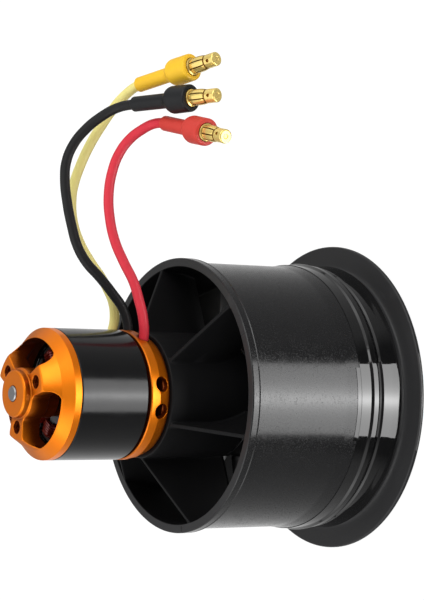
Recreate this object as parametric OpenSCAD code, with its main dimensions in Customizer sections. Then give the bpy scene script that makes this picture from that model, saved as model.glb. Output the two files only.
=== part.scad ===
// Electric ducted fan unit: moulded duct with an inlet lip, guide vanes, fan and outrunner motor.
// It stands on its inlet lip, with the motor on top. Lengths are millimetres, angles are degrees.

/* [Duct] */
// Height of the duct from the lip's front face to the exit plane
duct_len = 39.2; // [37:0.1:44]
// Outer diameter of the straight body
body_d = 54.4; // [49:0.1:61]
// Wall where the fan turns
fan_wall = 1.6; // [1.5:0.05:1.8]
// Wall at the exit plane
exit_wall = 1; // [0.9:0.05:1.4]
// How far the exit rim stands out of the body
exit_rim_proud = 0.8; // [0.5:0.1:1.8]
// Height of the exit rim
exit_rim_h = 2; // [1:0.1:4]

/* [Inlet lip] */
// How far the inlet lip stands out of the body
flare_w = 4.8; // [3.8:0.1:6.8]
// Height of the lip ring up to its seam with the housing
lip_h = 7.9; // [7.4:0.1:8.2]
// Thickness of the lip's edge
lip_edge_t = 0.9; // [0.6:0.1:1.3]
// Width of the flat ring on the lip's front face
lip_flat_w = 1.6; // [1:0.1:2.2]
// Height at which the flare runs into the straight neck
flare_h = 2.5; // [2.2:0.1:3.4]
// How tightly the flare bends: 1 is a quarter ellipse, less is tighter
flare_bend = 0.6; // [0.5:0.05:1]
// Height of the inlet's rounded mouth
mouth_h = 4.6; // [4:0.1:6]
// Length of the spigot that enters the housing
spigot_len = 2.5; // [1.5:0.1:3.2]
// Wall of the spigot
spigot_wall = 0.8; // [0.6:0.05:0.85]

/* [Seam and tape] */
// Height of the bead at the housing's front edge
bead_h = 1.1; // [0.8:0.1:1.5]
// How far the bead stands out of the body
bead_proud = 0.7; // [0.5:0.05:0.9]
// Height of the groove behind the bead
groove_h = 0.9; // [0.5:0.1:1.4]
// Height of the collar behind the groove
collar_h = 3.6; // [3.4:0.1:5]
// How far the collar stands out of the body
collar_proud = 0.35; // [0.2:0.05:0.45]
// Height of the groove at the end of the lip's neck
neck_groove_h = 1.3; // [0.8:0.1:1.8]
// Depth of both grooves
groove_depth = 0.25; // [0.1:0.05:0.35]
// Thickness of the clear tape round the seam
tape_t = 0.12; // [0.08:0.01:0.2]
// Gap between the flare and the tape's lower edge
tape_gap = 0.1; // [0:0.1:1]
// Width of the tape
tape_w = 9.9; // [8.9:0.1:10.4]
// Angle where the tape's overlap starts
tape_lap_start = -107; // [-180:1:180]
// Angle that the overlap covers
tape_lap_angle = 28; // [10:1:60]
// How much higher the overlapping end lies
tape_lap_shift = 0.9; // [0:0.1:1.5]

/* [Guide vanes] */
// Number of guide vanes
vane_count = 6; // [4:1:7]
// Thickness of a guide vane
vane_t = 1.1; // [0.8:0.1:1.6]
// Radius of a guide vane's bend
vane_bend_r = 18; // [15:1:30]
// Distance of a guide vane's plane from the axis
vane_lean = 4.2; // [2:0.1:6]
// Angle of the first guide vane
vane_phase = 23.4; // [0:0.2:60]
// How far the trailing edge rises towards the hub
vane_rise = 7; // [3:0.1:7.6]
// Gap between the hub's front and the leading edges
vane_setback = 0.4; // [0.2:0.1:2]
// Outer diameter of the hub
hub_d = 25.4; // [24.6:0.1:26]
// Wall of the hub
hub_wall = 1.2; // [0.9:0.1:2]
// Thickness of the plate that carries the motor
hub_plate_t = 1.5; // [1.2:0.1:3]
// How far the hub stands out behind the exit plane
hub_overhang = 8.7; // [8:0.1:12]

/* [Motor] */
// Outer diameter of the motor
motor_d = 26; // [25.6:0.1:27]
// Diameter of the base where it meets the hub
base_front_d = 23.7; // [23:0.1:24.6]
// Height of the base
base_h = 4.9; // [4.6:0.1:6]
// Height of the base's conical part
base_cone_h = 2.9; // [2.2:0.1:3.2]
// Thickness of the base's floor
base_floor_t = 1.3; // [1:0.1:1.35]
// Wall of the base's skirt
base_skirt_t = 1.8; // [1.2:0.1:2]
// Diameter of the lead holes in the base
lead_hole_d = 2.3; // [2.2:0.05:2.4]
// Height of the lead holes above the hub
lead_hole_z = 2.8; // [2.75:0.05:2.9]
// Diameter of the vent holes in the base
vent_hole_d = 3.1; // [2.6:0.05:3.4]
// Height of the vent holes above the hub
vent_hole_z = 2.2; // [2:0.05:2.6]
// Running gap between the base and the can
can_gap = 0.7; // [0.4:0.1:1]
// Length of the steel can
can_len = 14.9; // [14.6:0.1:16]
// Wall of the steel can
can_wall = 0.8; // [0.6:0.05:0.9]
// Diameter of the shaft
shaft_d = 3; // [2.8:0.05:3.1]
// How far the shaft stands out of the bell
shaft_stub = 0.3; // [0.1:0.1:2]
// Pitch circle of the mounting screws
screw_pcd = 16; // [15:0.1:16.4]
// Thread diameter of the mounting screws
screw_d = 2.5; // [2:0.1:2.6]
// Length of the mounting screws below the head
screw_len = 4.4; // [3.6:0.1:4.8]

/* [Bell] */
// Height of the bell's straight band
bell_band_h = 1.6; // [1:0.1:2.4]
// Width of the bell's bevel
bell_bevel = 1.9; // [1.4:0.1:2.2]
// How far the arms rise above the bevel
arm_rise = 3.2; // [2:0.1:3.6]
// Radius at which the arms turn flat
arm_flat_r = 9; // [8.6:0.1:9.6]
// Diameter of the central boss
boss_d = 9.3; // [8.6:0.1:9.6]
// Height of the central boss above the arms
boss_h = 1.5; // [0.8:0.1:2.4]
// Width of an arm at its hole
arm_w = 5; // [4.6:0.1:5.6]
// Angle by which each side of an arm opens towards the rim
arm_taper = 7; // [0:0.5:9]
// Inner radius of the windows between the arms
window_in_r = 5.1; // [5:0.05:6]
// Rim left between a window and the bevel
window_rim = 0.15; // [0.1:0.05:0.6]
// Rounding of a window's outer corners
window_corner_r = 1.55; // [0.8:0.05:1.8]
// Pitch circle of the tapped holes in the arms
arm_pcd = 13.2; // [12.8:0.1:14.2]
// Bore of the tapped holes in the arms
arm_hole_d = 2.5; // [2:0.1:2.7]
// Angle of the first arm
arm_phase = -68; // [-180:1:180]

/* [Stator and magnets] */
// Length of the laminated core
core_len = 11; // [10:0.1:11.2]
// Outer diameter of the laminated core
core_d = 21.2; // [20.8:0.1:21.3]
// Number of teeth
tooth_count = 12; // [9:3:12]
// Width of a tooth
tooth_w = 1.5; // [1.2:0.1:1.6]
// Diameter of the winding's wire bundle
wire_d = 0.8; // [0.6:0.05:0.85]
// Turns shown on each tooth
coil_turns = 2; // [1:1:2]
// Number of magnets
magnet_count = 14; // [10:2:16]
// Thickness of a magnet
magnet_t = 1.25; // [0.9:0.05:1.25]
// Angle between neighbouring magnets
magnet_gap_angle = 3.5; // [2:0.5:8]

/* [Bearings] */
// Outer diameter of a bearing
bearing_d = 7; // [6.6:0.1:7.2]
// Width of a bearing
bearing_w = 3; // [2.5:0.1:3.2]
// Thickness of a bearing ring
race_t = 0.6; // [0.5:0.02:0.64]
// Number of balls in a bearing
ball_count = 7; // [6:1:8]

/* [Fan] */
// Number of fan blades
blade_count = 12; // [8:1:12]
// Gap between the blade tips and the bore
tip_gap = 0.3; // [0.25:0.05:0.6]
// Height of the fan hub's front face
fan_z = 18.6; // [16:0.1:19]
// Length of the fan hub
fan_hub_len = 9.8; // [9.4:0.1:10.4]
// Diameter of the fan hub
fan_hub_d = 25; // [24:0.1:25.2]
// Wall of the fan hub
fan_hub_wall = 1.2; // [1:0.1:1.6]
// Gap between the fan hub and the guide vanes' hub
fan_gap = 0.6; // [0.5:0.1:2]
// Chord of a blade
blade_chord = 9.6; // [8:0.1:10]
// Thickness of a blade in its middle
blade_t = 1; // [0.8:0.1:1.3]
// Camber of a blade
blade_camber = 0.9; // [0.4:0.1:1.2]
// Angle of a blade to the axis at its root
blade_root_angle = 38; // [36:1:45]
// Angle of a blade to the axis at its tip
blade_tip_angle = 58; // [50:1:64]
// Diameter of the adapter inside the fan
adapter_d = 5.8; // [5.6:0.1:6.4]
// Thread diameter on the adapter
adapter_thread_d = 4.9; // [4.6:0.1:5]
// Width across the flats of the fan nut
nut_af = 8; // [7.4:0.1:8.6]
// Height of the fan nut
nut_h = 2.4; // [2:0.1:2.7]
// Height of the spinner's nose above the lip's front face
spinner_nose_z = 5; // [3:0.1:7]
// Wall of the spinner
spinner_wall = 1.2; // [1:0.1:1.6]
// Length of the spinner's screw below its head
spinner_screw_len = 9; // [8:0.1:10]

/* [Leads] */
// Outer diameter of a lead
lead_d = 2; // [1.8:0.1:2.1]
// Diameter of the narrow part of a sleeve
sleeve_d = 3; // [2.7:0.1:3.4]
// Diameter of the wide part of a sleeve
sleeve_cup_d = 5.4; // [5.2:0.1:5.6]
// Length of the narrow part of a sleeve
sleeve_len = 9; // [8:0.1:10]
// Length of the wide part of a sleeve
sleeve_cup_len = 5.7; // [5:0.1:6.6]
// Diameter of the solder cup of a bullet connector
bullet_cup_d = 4.4; // [4:0.1:4.6]
// Diameter of the spring cage of a bullet connector
bullet_d = 3.6; // [3.3:0.05:3.8]
// Length of a bullet connector outside its sleeve
bullet_len = 6.6; // [6:0.1:7.8]

/* [Hidden] */
$fn = 96;

// Clearance of parts that are pressed or screwed together
fit_gap = 0.05;
// Overlap that lets a cutting tool pass right through
cut = 1;

// Radii
body_r = body_d / 2;
fan_bore_r = body_r - fan_wall;
exit_r = body_r - exit_wall;
exit_rim_r = body_r + exit_rim_proud;
lip_r = body_r + flare_w;
spigot_r = fan_bore_r + spigot_wall;
bead_r = body_r + bead_proud;
collar_r = body_r + collar_proud;
groove_r = body_r - groove_depth;
hub_r = hub_d / 2;
motor_r = motor_d / 2;
shaft_r = shaft_d / 2;
bearing_r = bearing_d / 2;
tube_r = bearing_r + 0.9;
can_in_r = motor_r - can_wall;
magnet_in_r = can_in_r - fit_gap - magnet_t;
core_r = core_d / 2;
shoe_t = 0.8;
yoke_r = tube_r + 1.7;
boss_r = boss_d / 2;
window_out_r = motor_r - bell_bevel - window_rim;
fan_hub_r = fan_hub_d / 2;
tip_r = fan_bore_r - tip_gap;
adapter_r = adapter_d / 2;
adapter_thread_r = adapter_thread_d / 2;
spinner_r = fan_hub_r - 0.1;

// Heights along the axis
tape_z0 = flare_h + tape_gap;
hub_z = fan_z + fan_hub_len + fan_gap;
hub_end_z = duct_len + hub_overhang;
can_z = hub_end_z + base_h + can_gap;
can_end_z = can_z + can_len;
bevel_z = can_end_z + bell_band_h;
ring_z = bevel_z + bell_bevel;
pad_z = ring_z + arm_rise;
boss_z = pad_z + boss_h;
shaft_end_z = boss_z + shaft_stub;
core_z = can_z + (can_len - core_len) / 2 - 0.5;
tube_end_z = can_end_z - 0.8;
front_bearing_z = hub_end_z + 0.1;
rear_bearing_z = tube_end_z - bearing_w - 0.1;
bell_floor_z = can_end_z + 0.4;
bell_skirt_z = can_end_z - 1.5;
fan_web_z = fan_z + 1.6;
adapter_flange_z = fan_z + fan_hub_len - 1.8;
adapter_nose_z = fan_z - 6.5;
shaft_z = fan_z + 1;
spinner_z = fan_z - fit_gap;
washer_t = 0.3;
washer_z = front_bearing_z - fit_gap - washer_t;
clip_t = 0.5;
clip_z = washer_z - fit_gap - clip_t;

// Small features that more than one piece shares
screw_head_h = 1.4;
clip_groove = 0.3;
spinner_nose_t = 2.5;
spinner_screw_r = 1;
spinner_screw_head_r = 1.9;
spinner_screw_head_h = 1.2;
lead_hole_angles = [-30, 0, 27];
vent_hole_angles = [78.5, 103, 168, 192, 258, 282];
window_inner_corner_r = 1.2;

// Routes of the leads from the base to their sleeves
red_route = [[9.3, -4.7, 50.7], [11.6, -5.9, 50.7], [14.9, -6.9, 51.5], [19.2, -6.8, 52.7], [22.5, -6.5, 53.8],
    [26.3, -5.6, 55.6], [30.4, -4.8, 57.3], [35, -4.4, 58.4], [39.8, -4.4, 58.8], [44.4, -5, 58.4],
    [47.6, -5.9, 57.6], [50.5, -7.3, 56.1], [52.5, -9.4, 54.4], [53.5, -11.2, 53.1], [53.5, -14.2, 52.3]];
red_tip = [49.6, -35.2, 52];
black_route = [[10.4, 0, 50.7], [13, 0, 50.7], [17, 0, 52], [20.3, 0.4, 54.5], [23.4, 1, 57.2],
    [26.2, 1.8, 59.8], [29.4, 2.3, 61.7], [33.5, 2.6, 63], [38.1, 2.9, 64], [42.6, 3, 64.6],
    [46, 2.8, 64.5], [49.4, 1.8, 63.6], [52.5, 0, 61.9], [55, -2.3, 59.8], [56.7, -5, 57.8],
    [57.3, -8.9, 56.2]];
black_tip = [58, -29.3, 50.2];
yellow_route = [[9, 5.2, 50.7], [11.3, 6.5, 50.7], [15, 5.7, 50.6], [18.4, 4.9, 51.5], [21, 4.9, 52.8],
    [23.4, 5.1, 54.3], [26.4, 5.7, 56.5], [30.4, 6.5, 58.8], [34.6, 6.8, 60.3], [39.1, 6.7, 60.8],
    [41.9, 6.3, 60.6], [45.5, 5.3, 59.9], [49.6, 3.9, 58.7], [53.5, 2.1, 57.2], [56.8, 0.2, 55.8],
    [59.4, -2, 54.6], [61.6, -5.9, 53.4]];
yellow_tip = [65.4, -26.3, 48.6];
sleeve_total = sleeve_len + sleeve_cup_len;
bullet_total = sleeve_total + bullet_len;

// Size of one coil, and its points: the same number round each of a tooth's four corners
coil_r0 = yoke_r + fit_gap + wire_d / 2;
coil_r1 = core_r - shoe_t - fit_gap - wire_d / 2;
coil_corner_r = wire_d / 2 + 0.1;
coil_corner_points = 3;
coil_steps = 4 * coil_corner_points;
coil_last = coil_steps * coil_turns - 2;
coil_sides = 6;

// Route of one coil: turns round a tooth's corners, stepping outwards along the tooth
coil_path = [for (i = [0:coil_last])
    let (corner = floor(i / coil_corner_points) + 3,
         t = 90 * corner + 90 / (coil_corner_points - 1) * (i % coil_corner_points))
    [coil_r0 + (coil_r1 - coil_r0) * i / coil_last,
     sign(cos(90 * corner + 45)) * tooth_w / 2 + coil_corner_r * cos(t),
     core_z + core_len / 2 + sign(sin(90 * corner + 45)) * core_len / 2 + coil_corner_r * sin(t)]];
// Least gap between the turns of a coil, measured on the points of its route
coil_gap = min([for (i = [0:coil_last - coil_steps / 2], j = [i + coil_steps / 2:coil_last])
    norm(coil_path[i] - coil_path[j])]) - wire_d;
echo(coil_gap = coil_gap);

// Bore of the duct at a height behind the fan
function bore_at(z) = fan_bore_r + (exit_r - fan_bore_r) * (z - hub_z) / (duct_len - hub_z);
// Unit vector
function unit(v) = v / norm(v);
// Points of a quarter ellipse about a centre, from one angle to another
function arc_points(centre, a, b, from, to, steps) =
    [for (i = [0:steps]) let (t = from + (to - from) * i / steps) centre + [a * cos(t), b * sin(t)]];
// Direction of a route at one of its points
function heading(path, i) =
    unit(path[min(i + 1, len(path) - 1)] - path[max(i - 1, 0)]);
// Frames carried along a route without twist
function carried(path, side, i = 0) =
    i == len(path) ? [] :
    let (t = heading(path, i), flat = unit(side - (side * t) * t))
    concat([flat], carried(path, flat, i + 1));

// Closed tube along a route, with a flat end at both ends
module tube(path, d, sides) {
    first = heading(path, 0);
    start = unit(cross(first, abs(first[2]) < 0.9 ? [0, 0, 1] : [1, 0, 0]));
    normals = carried(path, start);
    rings = len(path);
    points = [for (i = [0:rings - 1]) let (n = normals[i], b = cross(heading(path, i), n))
        for (j = [0:sides - 1]) path[i] + d / 2 * (cos(360 * j / sides) * n + sin(360 * j / sides) * b)];
    walls = [for (i = [0:rings - 2], j = [0:sides - 1])
        let (k = (j + 1) % sides, p = i * sides, q = p + sides)
        each [[p + j, q + j, q + k], [p + j, q + k, p + k]]];
    ends = [for (j = [1:sides - 2]) each [[0, j, j + 1],
        [(rings - 1) * sides, (rings - 1) * sides + j + 1, (rings - 1) * sides + j]]];
    polyhedron(points, concat(walls, ends));
}

// Turns the Z axis onto the line from one point to another
module along(from, to) {
    v = to - from;
    translate(from) rotate([0, acos(v[2] / norm(v)), atan2(v[1], v[0])]) children();
}

// Ring of rectangular section
module ring(r_out, r_in, z, h) {
    translate([0, 0, z]) difference() {
        cylinder(r = r_out, h = h);
        translate([0, 0, -cut]) cylinder(r = r_in, h = h + 2 * cut);
    }
}

module duct_housing() {
    bead_top = lip_h + bead_h;
    socket_r = spigot_r + fit_gap;
    socket_z = lip_h + spigot_len + fit_gap;
    edge = 0.25;
    color("#262626") rotate_extrude() polygon([
        [socket_r, lip_h], [bead_r, lip_h], [bead_r, bead_top], [groove_r, bead_top],
        [groove_r, bead_top + groove_h], [collar_r, bead_top + groove_h],
        [collar_r, bead_top + groove_h + collar_h], [body_r, bead_top + groove_h + collar_h + edge],
        [body_r, duct_len - exit_rim_h], [exit_rim_r, duct_len - exit_rim_h],
        [exit_rim_r, duct_len - edge], [exit_rim_r - edge, duct_len],
        [exit_r, duct_len], [fan_bore_r, hub_z], [fan_bore_r, socket_z], [socket_r, socket_z]]);
}

module inlet_lip() {
    mouth_r = lip_r - lip_flat_w;
    steps = 14;
    color("#202020") rotate_extrude() polygon(concat(
        [[mouth_r, 0], [lip_r, 0]],
        [for (i = [0:steps]) let (t = 90 * i / steps) [lip_r - flare_w * pow(sin(t), flare_bend),
            flare_h - (flare_h - lip_edge_t) * pow(cos(t), flare_bend)]],
        [[body_r, lip_h - neck_groove_h], [groove_r, lip_h - neck_groove_h], [groove_r, lip_h],
         [spigot_r, lip_h], [spigot_r, lip_h + spigot_len], [fan_bore_r, lip_h + spigot_len]],
        arc_points([mouth_r, mouth_h], mouth_r - fan_bore_r, mouth_h, 180, 270, steps)));
}

// Section of the tape between two layers, counted outwards, up to its upper edge
module tape_section(inner, outer, top) {
    bead_top = lip_h + bead_h;
    path = [[body_r, tape_z0], [body_r, lip_h - neck_groove_h], [bead_r, lip_h], [bead_r, bead_top],
            [collar_r, bead_top + groove_h], [collar_r, top]];
    polygon(concat([for (p = path) p + [inner * tape_t, 0]],
                   [for (i = [len(path) - 1:-1:0]) path[i] + [outer * tape_t, 0]]));
}

module seam_tape() {
    top = tape_z0 + tape_w;
    color("#3a3a3a") {
        rotate_extrude() tape_section(0, 1, top);
        rotate([0, 0, tape_lap_start]) rotate_extrude(angle = tape_lap_angle)
            tape_section(0.5, 2, top + tape_lap_shift);
    }
}

module stator_hub() {
    bore_clearance = 0.7;
    plate_z = hub_end_z - hub_plate_t;
    color("#262626") difference() {
        cylinder(r = hub_r, h = hub_end_z);
        translate([0, 0, -cut]) cylinder(r = hub_r + cut, h = hub_z + cut);
        cylinder(r = hub_r - hub_wall, h = plate_z);
        cylinder(r = bearing_r + bore_clearance, h = hub_end_z + cut);
        at_screws() cylinder(d = screw_d + 4 * fit_gap, h = hub_end_z + cut);
    }
}

// Places the mounting screws of the motor
module at_screws() {
    for (i = [0:3]) rotate([0, 0, 45 + 90 * i]) translate([screw_pcd / 2, 0, 0]) children();
}

module guide_vanes() {
    front_z = hub_z + vane_setback;
    gap = fit_gap / 2;
    color("#2b2b2b") for (i = [0:vane_count - 1]) rotate([0, 0, vane_phase + 360 * i / vane_count])
        intersection() {
            translate([0, -vane_lean, 0]) vane_plate();
            rotate_extrude() polygon([[hub_r + gap, front_z], [bore_at(front_z) - gap, front_z],
                [exit_r - gap, duct_len], [hub_r + gap, duct_len + vane_rise]]);
        }
}

// One guide vane: a plate that is bent at its front and runs straight at its rear
module vane_plate() {
    root = hub_r - 3;
    reach = exit_r + cut - root;
    bend_h = duct_len - hub_z;
    straight_h = vane_rise + cut;
    translate([root, 0, 0]) rotate([90, 0, 90]) linear_extrude(height = reach) {
        intersection() {
            translate([vane_bend_r, duct_len]) difference() {
                circle(r = vane_bend_r + vane_t / 2);
                circle(r = vane_bend_r - vane_t / 2);
            }
            translate([-vane_t, hub_z]) square([vane_bend_r + vane_t, bend_h]);
        }
        translate([-vane_t / 2, duct_len - fit_gap]) square([vane_t, straight_h]);
    }
}

module motor_base() {
    seat_r = tube_r + 1.2;
    skirt_r = motor_r - base_skirt_t;
    floor_z = hub_end_z + base_floor_t;
    recess_r = bearing_r + fit_gap;
    recess_h = bearing_w + 0.2;
    waist_r = shaft_r + 0.9;
    screw_boss_r = screw_d / 2 + 0.9;
    screw_boss_h = screw_len - hub_plate_t + 0.6;
    color("#e8881a") difference() {
        union() {
            rotate_extrude() polygon([
                [recess_r, hub_end_z], [base_front_d / 2, hub_end_z], [motor_r, hub_end_z + base_cone_h],
                [motor_r, hub_end_z + base_h], [skirt_r, hub_end_z + base_h], [skirt_r, floor_z],
                [seat_r, floor_z], [seat_r, core_z], [tube_r, core_z], [tube_r, tube_end_z],
                [recess_r, tube_end_z], [recess_r, tube_end_z - recess_h],
                [waist_r, tube_end_z - recess_h], [waist_r, hub_end_z + recess_h],
                [recess_r, hub_end_z + recess_h]]);
            at_screws() translate([0, 0, hub_end_z]) cylinder(r = screw_boss_r, h = screw_boss_h);
        }
        at_screws() translate([0, 0, hub_end_z - cut])
            cylinder(d = screw_d + 2 * fit_gap, h = screw_boss_h + 2 * cut);
        for (a = lead_hole_angles) rotate([0, 0, -a]) translate([skirt_r - 0.4, 0, hub_end_z + lead_hole_z])
            rotate([0, 90, 0]) cylinder(d = lead_hole_d, h = base_skirt_t + 1);
        for (a = vent_hole_angles) rotate([0, 0, -a]) translate([skirt_r - 0.4, 0, hub_end_z + vent_hole_z])
            rotate([0, 90, 0]) cylinder(d = vent_hole_d, h = base_skirt_t + 1);
    }
}

module motor_screws() {
    head_d = 1.75 * screw_d;
    head_z = hub_end_z - hub_plate_t - screw_head_h;
    socket_r = 0.7;
    color("#8d9094") at_screws() difference() {
        union() {
            translate([0, 0, head_z]) cylinder(d = head_d, h = screw_head_h);
            translate([0, 0, head_z]) cylinder(d = screw_d, h = screw_head_h + screw_len);
        }
        translate([0, 0, head_z - cut]) cylinder(r = socket_r, h = cut + 0.8, $fn = 6);
    }
}

module stator_core() {
    shoe_angle = 360 / tooth_count - 7;
    color("#9a9da1") translate([0, 0, core_z]) linear_extrude(height = core_len) difference() {
        union() {
            circle(r = yoke_r);
            for (i = [0:tooth_count - 1]) rotate(360 * i / tooth_count) {
                translate([0, -tooth_w / 2]) square([core_r - shoe_t / 2, tooth_w]);
                intersection() {
                    difference() {
                        circle(r = core_r);
                        circle(r = core_r - shoe_t);
                    }
                    polygon([[0, 0], 2 * core_r * [cos(shoe_angle / 2), -sin(shoe_angle / 2)],
                             2 * core_r * [cos(shoe_angle / 2), sin(shoe_angle / 2)]]);
                }
            }
        }
        circle(r = tube_r + fit_gap);
    }
}

module windings() {
    color("#a5281e") for (i = [0:tooth_count - 1]) rotate([0, 0, 360 * i / tooth_count])
        tube(coil_path, wire_d, coil_sides);
}

// Places something at the lower face of both bearings
module at_bearings() {
    for (z = [front_bearing_z, rear_bearing_z]) translate([0, 0, z]) children();
}

module bearing_outer_rings() {
    color("#b9bcc0") at_bearings() ring(bearing_r, bearing_r - race_t, 0, bearing_w);
}

module bearing_inner_rings() {
    color("#b9bcc0") at_bearings() ring(shaft_r + fit_gap + race_t, shaft_r + fit_gap / 2, 0, bearing_w);
}

module bearing_balls() {
    inner = shaft_r + fit_gap + race_t;
    outer = bearing_r - race_t;
    color("#d5d8dc") at_bearings() for (i = [0:ball_count - 1]) rotate([0, 0, 360 * i / ball_count])
        translate([(inner + outer) / 2, 0, bearing_w / 2]) sphere(d = outer - inner - fit_gap, $fn = 32);
}

module motor_shaft() {
    bevel = 0.2;
    color("#b4b7bb") rotate_extrude() polygon([
        [0, shaft_z], [shaft_r, shaft_z], [shaft_r, clip_z], [shaft_r - clip_groove, clip_z],
        [shaft_r - clip_groove, clip_z + clip_t], [shaft_r, clip_z + clip_t],
        [shaft_r, shaft_end_z - bevel], [shaft_r - bevel, shaft_end_z], [0, shaft_end_z]]);
}

module shaft_circlip() {
    open_angle = 70;
    rim = 1.1;
    color("#55585c") translate([0, 0, clip_z + fit_gap / 2]) rotate([0, 0, open_angle / 2])
        rotate_extrude(angle = 360 - open_angle)
            translate([shaft_r - clip_groove + fit_gap / 2, 0]) square([clip_groove + rim, clip_t - fit_gap]);
}

module thrust_washer() {
    color("#c4b27a") ring(shaft_r + race_t, shaft_r + fit_gap, washer_z, washer_t);
}

// Places something at each arm of the bell
module at_arms() {
    for (i = [0:2]) rotate([0, 0, arm_phase + 120 * i]) children();
}

// Points of an arc about a centre, from one angle to another
function turn_points(centre, r, from, to, steps) =
    [for (i = [0:steps]) let (t = from + (to - from) * i / steps) centre + r * [cos(t), sin(t)]];
// Angle of the centre of a window's corner from the window's middle
function corner_angle(centre_r, corner_r) =
    let (side_r = arm_w / 2 * cos(arm_taper) - arm_pcd / 2 * sin(arm_taper))
    60 - arm_taper - asin((side_r + corner_r) / centre_r);

// Window between two arms: two arcs round the axis and two sides along the arms, with rounded corners
module window() {
    depth = boss_z - bell_skirt_z + 2 * cut;
    side = 150 - arm_taper;
    far_r = window_out_r - window_corner_r;
    near_r = window_in_r + window_inner_corner_r;
    far = corner_angle(far_r, window_corner_r);
    near = corner_angle(near_r, window_inner_corner_r);
    corners = concat(
        turn_points(far_r * [cos(far), sin(far)], window_corner_r, far, side, 8),
        turn_points(near_r * [cos(near), sin(near)], window_inner_corner_r, side, near + 180, 8));
    outer = turn_points([0, 0], window_out_r, -far, far, 12);
    inner = turn_points([0, 0], window_in_r, near, -near, 6);
    translate([0, 0, bell_skirt_z - cut]) linear_extrude(height = depth) polygon(concat(
        [for (i = [1:len(outer) - 2]) outer[i]], corners, [for (i = [1:len(inner) - 2]) inner[i]],
        [for (i = [len(corners) - 1:-1:0]) [corners[i][0], -corners[i][1]]]));
}

module rotor_bell() {
    spigot_out = can_in_r - fit_gap;
    spigot_in = spigot_out - 1.1;
    arm_under_z = ring_z - 0.7;
    bevel = 0.4;
    color("#f09422") difference() {
        rotate_extrude() polygon([
            [shaft_r + fit_gap / 2, bell_floor_z], [boss_r, bell_floor_z], [boss_r, arm_under_z],
            [arm_flat_r - 0.5, arm_under_z], [spigot_in, can_end_z], [spigot_in, bell_skirt_z],
            [spigot_out, bell_skirt_z], [spigot_out, can_end_z + fit_gap], [motor_r, can_end_z + fit_gap],
            [motor_r, bevel_z], [motor_r - bell_bevel, ring_z], [arm_flat_r, pad_z], [boss_r, pad_z],
            [boss_r, boss_z - bevel], [boss_r - bevel, boss_z], [shaft_r + fit_gap / 2, boss_z]]);
        at_arms() rotate([0, 0, 60]) window();
        at_arms() translate([arm_pcd / 2, 0, bell_floor_z]) cylinder(d = arm_hole_d, h = boss_z);
    }
}

module flux_can() {
    color("#1d1d1f") ring(motor_r, can_in_r, can_z, can_len);
}

module magnets() {
    pitch = 360 / magnet_count;
    overlap = 0.3;
    color("#6f7276") for (i = [0:magnet_count - 1]) rotate([0, 0, pitch * i])
        translate([0, 0, core_z - overlap]) rotate_extrude(angle = pitch - magnet_gap_angle)
            translate([magnet_in_r, 0]) square([magnet_t, core_len + 2 * overlap]);
}

// Point of a blade, by radius, side and place along the chord from its leading edge
function blade_point(r, side, x) =
    let (share = (r - fan_hub_r) / (tip_r - fan_hub_r),
         angle = blade_root_angle + (blade_tip_angle - blade_root_angle) * share,
         along = (x - 0.5) * blade_chord,
         off = 4 * blade_camber * x * (1 - x)
             + side * (0.12 + blade_t * 1.3 * sqrt(x) * (1 - x)),
         turn = (along * sin(angle) + off * cos(angle)) * 180 / PI / r)
    [r * cos(turn), r * sin(turn), fan_z + fan_hub_len / 2 - 0.4 + along * cos(angle) - off * sin(angle)];

// One twisted blade, from inside the hub to the tip
module blade() {
    stations = 6;
    steps = 8;
    root_r = fan_hub_r - fan_hub_wall / 2;
    radii = [for (i = [0:stations]) root_r + (tip_r - root_r) * i / stations];
    row = 2 * (steps + 1);
    points = [for (r = radii) each concat(
        [for (i = [0:steps]) blade_point(r, 1, i / steps)],
        [for (i = [steps:-1:0]) blade_point(r, -1, i / steps)])];
    walls = [for (i = [0:stations - 1], j = [0:row - 1])
        let (k = (j + 1) % row, p = i * row, q = p + row)
        each [[p + j, q + j, q + k], [p + j, q + k, p + k]]];
    ends = [for (j = [0:steps - 1]) let (m = row - 1 - j, last = stations * row)
        each [[j, m - 1, m], [j, j + 1, m - 1],
              [last + j, last + m, last + m - 1], [last + j, last + m - 1, last + j + 1]]];
    polyhedron(points, concat(walls, ends));
}

module fan_rotor() {
    boss_out = adapter_r + 2.2;
    color("#1f1f1f") {
        rotate_extrude() polygon([
            [adapter_r + fit_gap, fan_z], [fan_hub_r, fan_z], [fan_hub_r, fan_z + fan_hub_len],
            [fan_hub_r - fan_hub_wall, fan_z + fan_hub_len], [fan_hub_r - fan_hub_wall, fan_web_z],
            [boss_out, fan_web_z], [boss_out, adapter_flange_z - fit_gap],
            [adapter_r + fit_gap, adapter_flange_z - fit_gap]]);
        for (i = [0:blade_count - 1]) rotate([0, 0, 360 * i / blade_count]) blade();
    }
}

module fan_adapter() {
    flange_r = adapter_r + 1.9;
    flange_t = 1.3;
    bore_r = shaft_r + fit_gap / 2;
    color("#c9ccd0") rotate_extrude() polygon([
        [spinner_screw_r + fit_gap, adapter_nose_z], [adapter_thread_r, adapter_nose_z],
        [adapter_thread_r, fan_z + 0.4], [adapter_r, fan_z + 0.4], [adapter_r, adapter_flange_z],
        [flange_r, adapter_flange_z], [flange_r, adapter_flange_z + flange_t],
        [bore_r, adapter_flange_z + flange_t], [bore_r, shaft_z - fit_gap],
        [spinner_screw_r + fit_gap, shaft_z - fit_gap]]);
}

module fan_nut() {
    color("#a8abaf") translate([0, 0, fan_z - fit_gap - nut_h]) difference() {
        cylinder(d = nut_af / cos(30), h = nut_h, $fn = 6);
        translate([0, 0, -cut]) cylinder(r = adapter_thread_r + fit_gap, h = nut_h + 2 * cut);
    }
}

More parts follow.
